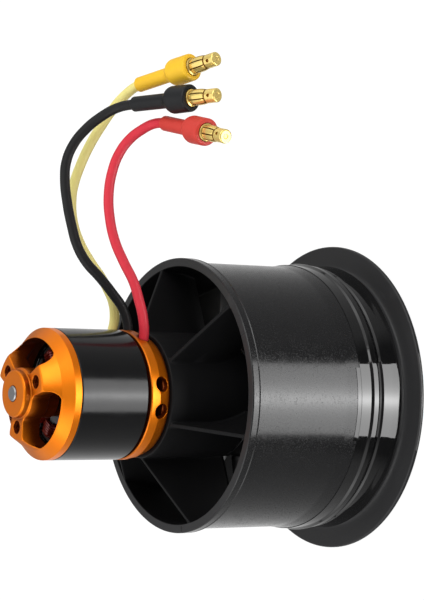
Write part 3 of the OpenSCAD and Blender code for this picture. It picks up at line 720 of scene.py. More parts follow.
@dataclass(frozen=True)
class Levels:
    """Radii and heights that several sub-assemblies share, read from the frame."""

    rim_r: float
    lip_r: float
    exit_z: float
    lip_z: float
    hub_r: float
    hub_z: float
    hub_end_z: float
    motor_r: float
    can_z: float
    can_end_z: float
    body_r: float = 27.2
    bore_r: float = 25.6
    exit_r: float = 26.2

    @classmethod
    def read(cls) -> Levels:
        """Reads the levels from the boxes of the loaded frame's nodes.

        Returns:
            The levels.
        """
        duct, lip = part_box("duct_housing"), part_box("inlet_lip")
        hub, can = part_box("stator_hub"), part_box("flux_can")
        return cls(
            rim_r=duct[1].x / MM, lip_r=lip[1].x / MM, exit_z=duct[1].z / MM, lip_z=duct[0].z / MM,
            hub_r=hub[1].x / MM, hub_z=hub[0].z / MM, hub_end_z=hub[1].z / MM,
            motor_r=can[1].x / MM, can_z=can[0].z / MM, can_end_z=can[1].z / MM)

    def bore_at(self, z: float) -> float:
        """Returns the duct's bore radius at a height behind the fan."""
        return self.bore_r + (self.exit_r - self.bore_r) * (z - self.hub_z) / (self.exit_z - self.hub_z)


@dataclass(frozen=True)
class PhotoCamera:
    """Camera at the photograph's place. It lies on its side, so that the motor points to the left."""

    aim: Point = (19.65, -0.53, 31.06)
    distance: float = 445.0
    bearing_deg: float = -1.2313
    elevation_deg: float = 33.7152
    roll_deg: float = 87.7824
    lens: float = 129.8
    sensor: float = 36.0
    clip: float = 10.0

    def build(self) -> None:
        """Makes the camera and sets it as the scene's."""
        bearing, elevation = math.radians(self.bearing_deg), math.radians(self.elevation_deg)
        back = Vector((math.sin(bearing) * math.cos(elevation), -math.cos(bearing) * math.cos(elevation),
                       math.sin(elevation)))
        data = bpy.data.cameras.new("photo_camera")
        data.lens = self.lens
        data.sensor_width = self.sensor
        data.clip_start = self.clip * MM
        camera = add_object("photo_camera", data)
        camera.location = (Vector(self.aim) + back * self.distance) * MM
        camera.rotation_mode = "QUATERNION"
        level = (-back).to_track_quat("-Z", "Y")
        camera.rotation_quaternion = level @ Quaternion((0.0, 0.0, 1.0), -math.radians(self.roll_deg))
        bpy.context.scene.camera = camera


@dataclass(frozen=True)
class Lamp:
    """Square soft box: direction in which it stands, distance, side and radiance."""

    name: str
    towards: Point
    distance: float
    side: float
    radiance: float

    def build(self, aim: Vector) -> None:
        """Makes the lamp.

        Args:
            aim: Point that the lamp faces, in millimetres.
        """
        data = bpy.data.lights.new(self.name, "AREA")
        data.size = self.side * MM
        data.energy = self.radiance * math.pi * data.size ** 2
        lamp = add_object(self.name, data)
        direction = Vector(self.towards).normalized()
        lamp.location = (aim + direction * self.distance) * MM
        lamp.rotation_euler = (-direction).to_track_quat("-Z", "Y").to_euler()


@dataclass(frozen=True)
class Studio:
    """Pale floor, soft boxes and a reflector card.

    The card lies in front of the unit and shows only in its gloss. What gloss shows of the floor and the sky
    is set by direction, as the walls of a studio would set it.
    """

    aim: Point = (10.0, 0.0, 40.0)
    floor_side: float = 6000.0
    floor_gap: float = 0.05
    ambient: float = 0.6
    floor_white: float = 0.93
    floor_colour: float = 0.8
    floor_gloss: tuple[tuple[float, float], ...] = (
        (0.0, 0.07), (28.0, 0.07), (38.0, 0.3), (50.0, 0.34), (60.0, 0.4), (75.0, 0.47), (90.0, 0.58),
        (120.0, 0.9))
    floor_sides: tuple[float, float] = (1.05, 0.85)
    floor_sides_x: float = 40.0
    floor_far: float = 0.3
    floor_far_y: tuple[float, float] = (90.0, 200.0)
    sky_gloss: tuple[tuple[float, float], ...] = (
        (-0.86, 0.12), (-0.7, 0.4), (-0.5, 0.42), (-0.28, 0.78), (0.3, 0.35))
    flank_gloss: float = 2.5
    flank_x: tuple[float, float] = (0.45, 0.75)
    shadow_share: float = 0.15
    card_near: float = 30.0
    card_far: float = 150.0
    card_apex: float = 13.5
    card_spread: float = 0.58
    card_radiance: float = 11.8
    card_edge: float = 0.38
    card_core: float = 0.2
    card_height: float = 0.4
    lamps: tuple[Lamp, ...] = (
        Lamp("key_box", (0.58, -0.57, 0.58), distance=450.0, side=260.0, radiance=3.2),
        Lamp("fill_box", (-0.64, -0.27, 0.71), distance=450.0, side=260.0, radiance=1.6),
        Lamp("top_box", (-0.1, 0.2, 0.97), distance=600.0, side=600.0, radiance=0.85),
    )

    def build(self) -> None:
        """Makes the world, the floor, the card and the lamps."""
        bpy.context.scene.view_settings.view_transform = "Standard"
        self._world()
        self._floor()
        self._card()
        for lamp in self.lamps:
            lamp.build(Vector(self.aim))

    def _world(self) -> None:
        """Makes a sky that lights evenly and is white to the camera; in gloss it is dark in front."""
        world = bpy.data.worlds.new("studio")
        tree = blank_tree(world)
        path = add_node(tree, "ShaderNodeLightPath")
        heading = add_node(tree, "ShaderNodeSeparateXYZ", {
            0: add_node(tree, "ShaderNodeTexCoord").outputs["Generated"]})
        share = add_node(tree, "ShaderNodeMath", {
            0: heading.outputs["Y"], 1: 0.5, 2: 0.5}, operation="MULTIPLY_ADD")
        ramp = add_node(tree, "ShaderNodeValToRGB", {"Fac": share.outputs["Value"]})
        set_greys(ramp.color_ramp, [(0.5 + 0.5 * y, grey) for y, grey in self.sky_gloss])
        aside = add_node(tree, "ShaderNodeMath", {0: heading.outputs["X"]}, operation="ABSOLUTE")
        flank = add_node(tree, "ShaderNodeMapRange", {
            "Value": aside.outputs["Value"], "From Min": self.flank_x[0], "From Max": self.flank_x[1],
            "To Min": 1.0, "To Max": self.flank_gloss})
        level = add_node(tree, "ShaderNodeMath", {
            0: ramp.outputs["Color"], 1: flank.outputs["Result"]}, operation="MULTIPLY")
        gloss = add_node(tree, "ShaderNodeMix", {
            0: path.outputs["Is Glossy Ray"], 2: self.ambient, 3: level.outputs["Value"]})
        strength = add_node(tree, "ShaderNodeMix", {
            0: path.outputs["Is Camera Ray"], 2: gloss.outputs[0], 3: 1.0})
        sky = add_node(tree, "ShaderNodeBackground", {
            "Color": linear("#ffffff"), "Strength": strength.outputs[0]})
        add_node(tree, "ShaderNodeOutputWorld", {"Surface": sky.outputs["Background"]})
        bpy.context.scene.world = world

    def _floor(self) -> None:
        """Lays a floor that is white to the camera and, in gloss, dark beside the card and bright behind."""
        data = bpy.data.meshes.new("floor")
        half, low = self.floor_side * MM / 2, -self.floor_gap * MM
        corners = [(-half, -half), (half, -half), (half, half), (-half, half)]
        data.from_pydata([(x, y, low) for x, y in corners], [], [(0, 1, 2, 3)])
        floor = add_object("floor", data)
        material = bpy.data.materials.new("white_paper_floor")
        tree = blank_tree(material)
        path = add_node(tree, "ShaderNodeLightPath")
        seen = add_node(tree, "ShaderNodeMath", {
            0: path.outputs["Is Camera Ray"], 1: path.outputs["Is Transmission Ray"]}, operation="MAXIMUM")
        place = add_node(tree, "ShaderNodeSeparateXYZ", {
            0: add_node(tree, "ShaderNodeTexCoord").outputs["Object"]})
        aside = add_node(tree, "ShaderNodeMath", {0: place.outputs["X"]}, operation="ABSOLUTE")
        front = add_node(tree, "ShaderNodeMath", {0: place.outputs["Y"], 1: -1.0}, operation="MULTIPLY")
        bearing = add_node(tree, "ShaderNodeMath", {
            0: aside.outputs["Value"], 1: front.outputs["Value"]}, operation="ARCTAN2")
        share = add_node(tree, "ShaderNodeMath", {
            0: bearing.outputs["Value"], 1: math.pi}, operation="DIVIDE")
        ramp = add_node(tree, "ShaderNodeValToRGB", {"Fac": share.outputs["Value"]})
        set_greys(ramp.color_ramp, [(degrees / 180, grey) for degrees, grey in self.floor_gloss])
        side = add_node(tree, "ShaderNodeMapRange", {
            "Value": place.outputs["X"],
            "From Min": -self.floor_sides_x * MM, "From Max": self.floor_sides_x * MM,
            "To Min": self.floor_sides[0], "To Max": self.floor_sides[1]})
        fall = add_node(tree, "ShaderNodeMapRange", {
            "Value": place.outputs["Y"],
            "From Min": self.floor_far_y[0] * MM, "From Max": self.floor_far_y[1] * MM,
            "To Min": 1.0, "To Max": self.floor_far}, interpolation_type="SMOOTHSTEP")
        fade = add_node(tree, "ShaderNodeMath", {
            0: side.outputs["Result"], 1: fall.outputs["Result"]}, operation="MULTIPLY")
        sheen = add_node(tree, "ShaderNodeMath", {
            0: ramp.outputs["Color"], 1: fade.outputs["Value"]}, operation="MULTIPLY")
        gloss = add_node(tree, "ShaderNodeMath", {
            0: path.outputs["Is Glossy Ray"], 1: sheen.outputs["Value"]}, operation="MULTIPLY")
        strength = add_node(tree, "ShaderNodeMath", {
            0: seen.outputs["Value"], 1: self.floor_white, 2: gloss.outputs["Value"]},
            operation="MULTIPLY_ADD")
        glow = add_node(tree, "ShaderNodeEmission", {"Strength": strength.outputs["Value"]})
        lit = add_node(tree, "ShaderNodeMix", {
            0: seen.outputs["Value"], 2: self.floor_colour, 3: self.shadow_share})
        grey = add_node(tree, "ShaderNodeMix", {
            0: path.outputs["Is Glossy Ray"], 2: lit.outputs[0], 3: 0.0})
        paper = add_node(tree, "ShaderNodeBsdfDiffuse", {"Color": grey.outputs[0]})
        both = add_node(tree, "ShaderNodeAddShader", {
            0: glow.outputs["Emission"], 1: paper.outputs["BSDF"]})
        add_node(tree, "ShaderNodeOutputMaterial", {"Surface": both.outputs["Shader"]})
        data.materials.append(material)

    def _card(self) -> None:
        """Lays the wedge-shaped card in front of the unit, brightest along its middle."""
        near = self.card_spread * (self.card_near - self.card_apex)
        far = self.card_spread * (self.card_far - self.card_apex)
        near_y, far_y = -self.card_near, -self.card_far
        corners = [(-near, near_y), (near, near_y), (far, far_y), (-far, far_y)]
        data = bpy.data.meshes.new("reflector_card")
        data.from_pydata([(x * MM, y * MM, self.card_height * MM) for x, y in corners], [], [(3, 2, 1, 0)])
        card = add_object("reflector_card", data)
        material = bpy.data.materials.new("lit_card")
        tree = blank_tree(material)
        place = add_node(tree, "ShaderNodeSeparateXYZ", {
            0: add_node(tree, "ShaderNodeTexCoord").outputs["Object"]})
        aside = add_node(tree, "ShaderNodeMath", {0: place.outputs["X"]}, operation="ABSOLUTE")
        core = self.card_spread * self.card_core
        width = add_node(tree, "ShaderNodeMath", {
            0: place.outputs["Y"], 1: -core, 2: -core * self.card_apex * MM}, operation="MULTIPLY_ADD")
        off = add_node(tree, "ShaderNodeMath", {
            0: aside.outputs["Value"], 1: width.outputs["Value"]}, operation="DIVIDE")
        spread = add_node(tree, "ShaderNodeMath", {
            0: off.outputs["Value"], 1: off.outputs["Value"], 2: 1.0}, operation="MULTIPLY_ADD")
        peak = add_node(tree, "ShaderNodeMath", {
            0: self.card_radiance * (1 - self.card_edge), 1: spread.outputs["Value"]}, operation="DIVIDE")
        strength = add_node(tree, "ShaderNodeMath", {
            0: peak.outputs["Value"], 1: self.card_radiance * self.card_edge}, operation="ADD")
        glow = add_node(tree, "ShaderNodeEmission", {"Strength": strength.outputs["Value"]})
        add_node(tree, "ShaderNodeOutputMaterial", {"Surface": glow.outputs["Emission"]})
        data.materials.append(material)
        for ray in ("camera", "diffuse", "transmission", "volume_scatter", "shadow"):
            setattr(card, f"visible_{ray}", False)


@dataclass(frozen=True)
class Lead:
    """One motor lead with its shrunk sleeve and its bullet connector."""

    colour: str
    route: tuple[Point, ...]
    tip: Point
    skin: SoftSkin
    shrink: SoftSkin
    wire_d: float = 2.0
    sleeve_d: float = 3.0
    cup_d: float = 5.4
    mouth_d: float = 3.6
    sleeve_len: float = 9.0
    cup_len: float = 5.7
    bullet_len: float = 6.6
    sleeve_wall: float = 0.4
    solder_cup_r: float = 2.2
    plug_collar_r: float = 1.72
    plug_neck_r: float = 1.1
    core_r: float = 1.0
    cage_end_r: float = 1.35
    spring_r: float = 1.58
    spring_t: float = 0.25
    springs: int = 8
    spring_gap: float = 0.13
    cage_h: float = 3.6
    head_r: float = 1.38
    head_wall: float = 0.55
    head_hole_r: float = 0.36
    head_hole_h: float = 5.15

    def build(self) -> None:
        sleeve = fit_out(self._sleeve(), self.shrink, Body.DUCT, f"{self.colour}_sleeve")
        bullet = fit_out(self._bullet(), GILT_BRASS, Body.DUCT, f"{self.colour}_bullet")
        wire = fit_out(self._wire(), self.skin, Body.DUCT, f"{self.colour}_lead")
        tuple(x * MM for x in self.route[1])

    def _frame(self) -> Matrix:
        """Finds the place of the sleeve's lower end, where its axis starts.

        Returns:
            Turn and place, with Z along the connector and X on the side that the photograph shows.
        """
        mouth = Vector(self.route[-1])
        ahead = (Vector(self.tip) - mouth).normalized()
        # Towards the photograph's camera.
        side = Vector((0.0, -0.83, 0.56))
        side = (side - ahead * side.dot(ahead)).normalized()
        turn = Matrix((side, ahead.cross(side), ahead)).transposed()
        return Matrix.Translation(mouth) @ turn.to_4x4()

    def _wire(self) -> bpy.types.Object:
        """Makes the lead as one smooth curve through its route, up to the solder cup.

        Returns:
            The curve's object.
        """
        end = self._frame() @ Vector((0.0, 0.0, self.sleeve_len))
        data = bpy.data.curves.new(f"{self.colour}_wire", "CURVE")
        data.dimensions = "3D"
        data.bevel_depth = self.wire_d * MM / 2
        data.bevel_resolution = 6
        data.resolution_u = 8
        data.use_fill_caps = True
        spline = data.splines.new("BEZIER")
        points = [*self.route, tuple(end)]
        spline.bezier_points.add(len(points) - 1)
        for knot, point in zip(spline.bezier_points, points):
            knot.co = Vector(point) * MM
            knot.handle_left_type = knot.handle_right_type = "AUTO"
        return add_object(f"{self.colour}_wire", data)

    def _sleeve(self) -> bpy.types.Object:
        """Makes the sleeve, which has shrunk tight on the wire and wider over the solder cup.

        Returns:
            The sleeve in its place.
        """
        throat, narrow, wide = self.wire_d / 2 + 0.02, self.sleeve_d / 2, self.cup_d / 2
        bore, mouth = wide - self.sleeve_wall, self.mouth_d / 2
        total = self.sleeve_len + self.cup_len
        outline = rounded([
            (throat, 0.0, 0.0), (narrow, 0.0, 0.35), (narrow, self.sleeve_len - 0.5, 1.6),
            (wide, self.sleeve_len + 0.9, 1.3), (wide, total, 0.5), (mouth, total + 0.1, 0.12),
            (mouth, total - 0.4, 0.0), (bore, total - 0.6, 0.0), (bore, total - 1.2, 0.0),
            (throat, self.sleeve_len, 0.0)], steps=7)

        def uneven(angle: float, r: float, z: float) -> tuple[float, float]:
            """Moves a point by the uneven pull of the shrunk sleeve, and slants its cut end.

            Args:
                angle: Angle of the point.
                r: Radius of the point.
                z: Height of the point.

            Returns:
                New radius and height.
            """
            if r <= bore:
                return r, z
            swell = 0.05 * math.sin(2 * angle + 0.9 * z) + 0.03 * math.sin(3 * angle - 1.7 * z)
            slant = 0.12 * math.sin(angle + 0.6) if z < 0.5 else 0.0
            return r + swell, z + slant

        mesh = bmesh.new()
        revolve(mesh, outline, segments=64, wave=uneven)
        return as_object(f"{self.colour}_shrink", mesh, self._frame())

    def _bullet(self) -> bpy.types.Object:
        """Makes the bullet: solder cup and collar, a cage of bowed springs, and a head with a cross hole.

        Returns:
            The bullet in its place.
        """
        base = self.sleeve_len + self.cup_len
        tip = base + self.bullet_len
        cup, cage, head = self.sleeve_len + 0.5, base + 0.3, base + 4.15
        collar_r, neck_r, head_r = self.plug_collar_r, self.plug_neck_r, self.head_r
        mesh = bmesh.new()
        revolve(mesh, rounded([
            (0.0, cup, 0.0), (self.solder_cup_r, cup, 0.2), (self.solder_cup_r, base - 0.7, 0.12),
            (collar_r, base - 0.7, 0.1), (collar_r, base + 0.2, 0.1), (self.cage_end_r, cage + 0.1, 0.1),
            (neck_r, cage + 0.1, 0.05), (neck_r, head, 0.05), (self.core_r, head + 0.1, 0.05),
            (self.core_r, tip - 0.7, 0.0), (0.0, tip - 0.7, 0.0)], closed=False), closed=False, segments=64)
        for i in range(self.springs):
            loft(mesh, self._spring(math.tau * i / self.springs, cage))
        hole_z = base + self.head_hole_h
        drum(mesh, [(head_r - 0.12, head), (head_r, head + 0.12), (head_r, tip - 0.6)],
             head_r - self.head_wall, [(turn, hole_z, self.head_hole_r) for turn in (0.0, math.pi)],
             rounding=0.08, pitch=0.2, seam_angle=math.pi / 2)
        nose = [(0.0, tip - 0.65, 0.0), (head_r, tip - 0.65, 0.0), (head_r, tip, 0.64), (0.5, tip, 0.1),
                (0.4, tip - 0.12, 0.1), (0.0, tip - 0.12, 0.0)]
        revolve(mesh, rounded(nose, closed=False, steps=6), closed=False, segments=64)
        return as_object(f"{self.colour}_plug", mesh, self._frame())

    def _spring(self, turn: float, low: float) -> list[list[Point]]:
        """Bows one spring of the bullet's cage.

        Args:
            turn: Angle of the spring's middle.
            low: Height at which the cage starts.

        Returns:
            Sections from the spring's lower end to its upper end.
        """
        steps, half_points = 12, 3
        sections = []
        for k in range(steps + 1):
            share = k / steps
            bow = self.cage_end_r + (self.spring_r - self.cage_end_r) * math.sin(math.pi * share) ** 0.7
            z = low + self.cage_h * share
            half = math.pi / self.springs - self.spring_gap / bow
            angles = [turn + half * (a / half_points - 1) for a in range(2 * half_points + 1)]
            rounds = ((bow, angles), (bow - self.spring_t, reversed(angles)))
            sections.append([(r * math.cos(a), r * math.sin(a), z) for r, way in rounds for a in way])
        return sections


def drum(
    mesh: bmesh.types.BMesh, profile: Outline, inner_r: float, holes: Sequence[tuple[float, float, float]],
    rounding: float, pitch: float, seam_angle: float,
) -> None:
    """Adds a round wall with holes bored from its side.

    Args:
        mesh: Mesh that receives the wall.
        profile: Outer radius and height of each point, from low to high.
        inner_r: Inner radius of the wall.
        holes: Angle, height and radius of each hole.
        rounding: Rounding of the holes' edges.
        pitch: Distance between the points of the wall.
        seam_angle: Angle, clear of every hole, at which the wall's plan is cut open.
    """
    edge_steps, hole_points, tiny = 3, 32, 1e-6
    radius = max(r for r, _ in profile)
    length = math.tau * radius
    by_height = [(z, r) for r, z in profile]
    spots = [((angle - seam_angle) % math.tau * radius, z, r) for angle, z, r in holes]
    columns = round(length / pitch)

    def clear(point: Vector) -> float:
        """Returns the distance from a point to the nearest hole."""
        return min(math.hypot(point.x - x, point.y - z) - r for x, z, r in spots)

    def wall(point: Vector, r: float) -> Point:
        """Returns the place of a plan point at a radius."""
        angle = seam_angle + point.x / radius
        return r * math.cos(angle), r * math.sin(angle), point.y

    def outside(point: Vector) -> Point:
        """Returns the place of a plan point on the outer face."""
        return wall(point, height_at(by_height, point.y) - edge_drop(clear(point), rounding))

    rows = [z for _, z in profile]
    heights = []
    for low, high in zip(rows, rows[1:]):
        parts = max(1, round((high - low) / pitch))
        heights.extend(low + (high - low) * k / parts for k in range(parts))
    heights.append(rows[-1])
    border = ([(length * i / columns, rows[0]) for i in range(columns)]
              + [(length, z) for z in heights[:-1]]
              + [(length * (columns - i) / columns, rows[-1]) for i in range(columns)]
              + [(0.0, z) for z in reversed(heights[1:])])
    offsets = [rounding * k / edge_steps for k in range(edge_steps + 1)]
    turns = [math.tau * k / hole_points for k in range(hole_points)]
    rings = [[(x + (r + off) * math.cos(t), z + (r + off) * math.sin(t)) for t in turns]
             for x, z, r in spots for off in offsets]
    middles = [(length * i / columns, z) for z in heights[1:-1] for i in range(1, columns)]
    loose = [p for p in middles if clear(Vector(p)) > rounding + 0.4 * pitch]
    pierce(mesh, [border, *rings], loose, lambda p: clear(p) > -tiny, outside, lambda p: wall(p, inner_r),
           lambda p: p.x < tiny or p.x > length - tiny)


@dataclass(frozen=True)
class Duct:
    """Moulded housing, flared inlet lip and the tape round their joint."""

    levels: Levels
    bead_r: float = 27.9
    bead_h: float = 1.1
    bead_lift: float = 0.55
    collar_r: float = 27.55
    collar_h: float = 3.6
    groove_r: float = 26.95
    groove_h: float = 0.9
    neck_groove_h: float = 1.3
    socket_r: float = 26.45
    socket_depth: float = 2.55
    spigot_gap: float = 0.05
    rim_h: float = 2.0
    rim_line_h: float = 0.4
    rim_line_half: float = 0.16
    rim_line_depth: float = 0.14
    lip_edge: float = 0.9
    lip_flat: float = 1.6
    flare_z: float = 2.5
    flare_bend: float = 0.42
    mouth_z: float = 4.6
    tape_low: float = 2.6
    tape_w: float = 9.9
    tape_t: float = 0.08
    tape_gap: float = 0.3
    tape_lift: float = 0.17
    ramp_h: float = 3.1
    ramp_drop: float = 0.9
    lap_start_deg: float = -107.0
    lap_deg: float = 31.0
    lap_shift: float = 0.9
    mould_lines_deg: tuple[float, ...] = (-62.0, -172.0)

    def build(self) -> None:
        """Makes the housing, the lip and the tape."""
        fit_out(self._housing(), DUCT_NYLON, Body.DUCT, "duct_housing")
        fit_out(self._lip(), LIT_NYLON, Body.DUCT, "inlet_lip")
        fit_out(self._tape(), TAPE_FILM, Body.DUCT, "seam_tape")

    def _housing(self) -> bpy.types.Object:
        """Makes the housing with its bead, its exit rim and the mould's parting lines on the rim.

        Returns:
            The housing: one finish outside, darker inside as painted shade, lighter on its end as painted
                light.
        """
        at = self.levels
        crest_z = at.lip_z + self.bead_lift
        bead_z = crest_z + self.bead_h
        collar_z = bead_z + self.groove_h
        ramp_z = self._ramp_start()
        rim_z = at.exit_z - self.rim_h
        line_z = rim_z + self.rim_line_h
        upwards = 0.95
        mesh = bmesh.new()
        revolve(mesh, rounded([
            (self.socket_r, at.lip_z, 0.0), (self.groove_r, at.lip_z, 0.0), (self.groove_r, crest_z, 0.0),
            (self.bead_r, crest_z, 0.1), (self.bead_r, bead_z, 0.15),
            (self.groove_r, bead_z, 0.0), (self.groove_r, collar_z, 0.0), (self.collar_r, collar_z, 0.1),
            (self.collar_r, ramp_z, 4.0), (at.body_r, ramp_z + self.ramp_h, 6.0),
            (at.body_r, rim_z, 0.0), (at.rim_r, rim_z, 0.04), (at.rim_r, line_z - self.rim_line_half, 0.03),
            (at.rim_r - self.rim_line_depth, line_z, 0.03), (at.rim_r, line_z + self.rim_line_half, 0.03),
            (at.rim_r, at.exit_z, 0.28), (at.exit_r, at.exit_z, 0.22),
            (at.bore_r, at.hub_z, 3.0), (at.bore_r, at.lip_z + self.socket_depth, 0.0),
            (self.socket_r, at.lip_z + self.socket_depth, 0.0)]))
        for angle in self.mould_lines_deg:
            self._mould_line(mesh, math.radians(angle))
        shell = as_object("duct_shell", mesh)
        for finish in (DUCT_NYLON, SHADED_NYLON, LIT_NYLON):
            shell.data.materials.append(finish.material())
        # Inner faces take the darker nylon, painted shade; faces that look up take the lighter one, painted
        # light.
        for face in shell.data.polygons:
            inside = face.normal.x * face.center.x + face.normal.y * face.center.y < 0
            face.material_index = 2 if face.normal.z > upwards else 1 if inside else 0
        return shell

    def _ramp_start(self) -> float:
        """Returns the height at which the collar begins to slope down to the body."""
        return self.levels.lip_z + self.bead_h + self.groove_h + self.collar_h - self.ramp_drop

    def _mould_line(self, mesh: bmesh.types.BMesh, angle: float) -> None:
        """Adds the thin raised line that two halves of the mould leave across the rim.

        Args:
            mesh: Mesh that receives the line.
            angle: Angle at which it crosses the rim.
        """
        half, height, sunk, inset = 0.1, 0.11, 0.2, 0.35
        top = self.levels.exit_z
        turn = Matrix.Rotation(angle, 3, "Z")
        section = ((-half, top - sunk), (half, top - sunk), (half, top), (0.0, top + height), (-half, top))
        ends = (self.levels.exit_r + inset, self.levels.rim_r - inset)
        loft(mesh, [[tuple(turn @ Vector((r, y, z))) for y, z in section] for r in ends])

    def _lip(self) -> bpy.types.Object:
        """Makes the lip: a flared ring with a rounded mouth and a spigot into the housing.

        Returns:
            The lip in its place.
        """
        at = self.levels
        steps = 28
        spigot_r, spigot_z = self.socket_r - self.spigot_gap, at.lip_z + self.socket_depth - self.spigot_gap
        mouth_r = at.lip_r - self.lip_flat
        flare_w, flare_h = at.lip_r - at.body_r, self.flare_z - self.lip_edge
        turns = [math.pi / 2 * i / steps for i in range(steps + 1)]
        flare = [(at.lip_r - flare_w * math.sin(t) ** self.flare_bend,
                  self.flare_z - flare_h * abs(math.cos(t)) ** self.flare_bend) for t in turns]
        mouth = [(mouth_r - (mouth_r - at.bore_r) * math.cos(t), self.mouth_z - self.mouth_z * math.sin(t))
                 for t in turns]
        edge = rounded([(mouth_r, 0.0, 0.0), (at.lip_r, 0.0, 0.3), (at.lip_r, self.lip_edge, 0.35),
                        (*flare[2], 0.0)], closed=False)
        neck = rounded([(*flare[-1], 0.0), (at.body_r, at.lip_z - self.neck_groove_h, 0.1),
                        (self.groove_r, at.lip_z - self.neck_groove_h, 0.0), (self.groove_r, at.lip_z, 0.0),
                        (spigot_r, at.lip_z, 0.0), (spigot_r, spigot_z, 0.1),
                        (at.bore_r, spigot_z, 0.0)], closed=False)
        mesh = bmesh.new()
        revolve(mesh, edge[1:-1] + flare[2:-1] + neck + mouth)
        return as_object("flared_lip", mesh)

    def _tape(self) -> bpy.types.Object:
        """Makes the tape that is drawn over the joint, and its overlapping end, with slightly wavy edges.

        Returns:
            The tape in its place.
        """
        top = self.tape_low + self.tape_w
        mesh = bmesh.new()
        revolve(mesh, self._film(inner=0.0, outer=1.0, top=top), wave=self._waver)
        revolve(mesh, self._film(inner=0.5, outer=1.6, top=top + self.lap_shift, step=0.05), segments=48,
                start=math.radians(self.lap_start_deg), sweep=math.radians(self.lap_deg), wave=self._waver)
        return as_object("joint_tape", mesh, faced=True)

    def _film(self, inner: float, outer: float, top: float, step: float = 0.0) -> Outline:
        """Draws the section of a layer of tape, which follows neck, bead, collar and ramp.

        Args:
            inner: Distance of its inner face from what it follows, in thicknesses of the tape.
            outer: Distance of its outer face, measured in the same way.
            top: Height of its upper edge.
            step: Drop where a layer under it ends.

        Returns:
            Outer face upwards, then inner face downwards.
        """
        at = self.levels
        crest_z = at.lip_z + self.bead_lift
        bead_z = crest_z + self.bead_h
        ramp_z = self._ramp_start()
        neck_r = at.body_r + self.tape_gap
        slope = (self.collar_r - at.body_r) / self.ramp_h
        under_z, half_step = self.tape_low + self.tape_w, 0.08
        flat_z, dip_z, rise_z, step_z = self.tape_low + 1.8, crest_z - 1.65, crest_z - 1.2, bead_z + 0.55
        drops = [(under_z - half_step, 0.0), (under_z + half_step, step)] if step else []
        drops.append((top, step))
        tail = [(self.collar_r - slope * (z - ramp_z) - drop, z, 0.0) for z, drop in drops]
        run = rounded([
            (neck_r + self.tape_lift, self.tape_low, 0.0), (neck_r, flat_z, 10.0), (neck_r, dip_z, 0.3),
            (at.body_r + 0.02, rise_z, 0.0), (self.bead_r, crest_z, 0.6), (self.bead_r, bead_z, 0.35),
            (self.collar_r, step_z, 0.35), (self.collar_r, ramp_z, 4.0), *tail], closed=False, steps=6)
        upper = [(r + outer * self.tape_t, z) for r, z in run]
        return upper + [(r + inner * self.tape_t, z) for r, z in reversed(run)]

    def _waver(self, angle: float, r: float, z: float) -> tuple[float, float]:
        """Moves a point of the tape, whose edges waver and whose film is not quite flat.

        Args:
            angle: Angle of the point.
            r: Radius of the point.
            z: Height of the point.

        Returns:
            New radius and height.
        """
        reach = 1.5
        edge = min(z - self.tape_low, self.tape_low + self.tape_w - z)
        share = max(0.0, 1.0 - max(edge, 0.0) / reach)
        shift = share * (0.05 * math.sin(5 * angle + 1.0) + 0.02 * math.sin(13 * angle))
        lift = 0.012 * math.sin(9 * angle + 0.8 * z) ** 2
        return r + lift, z + shift


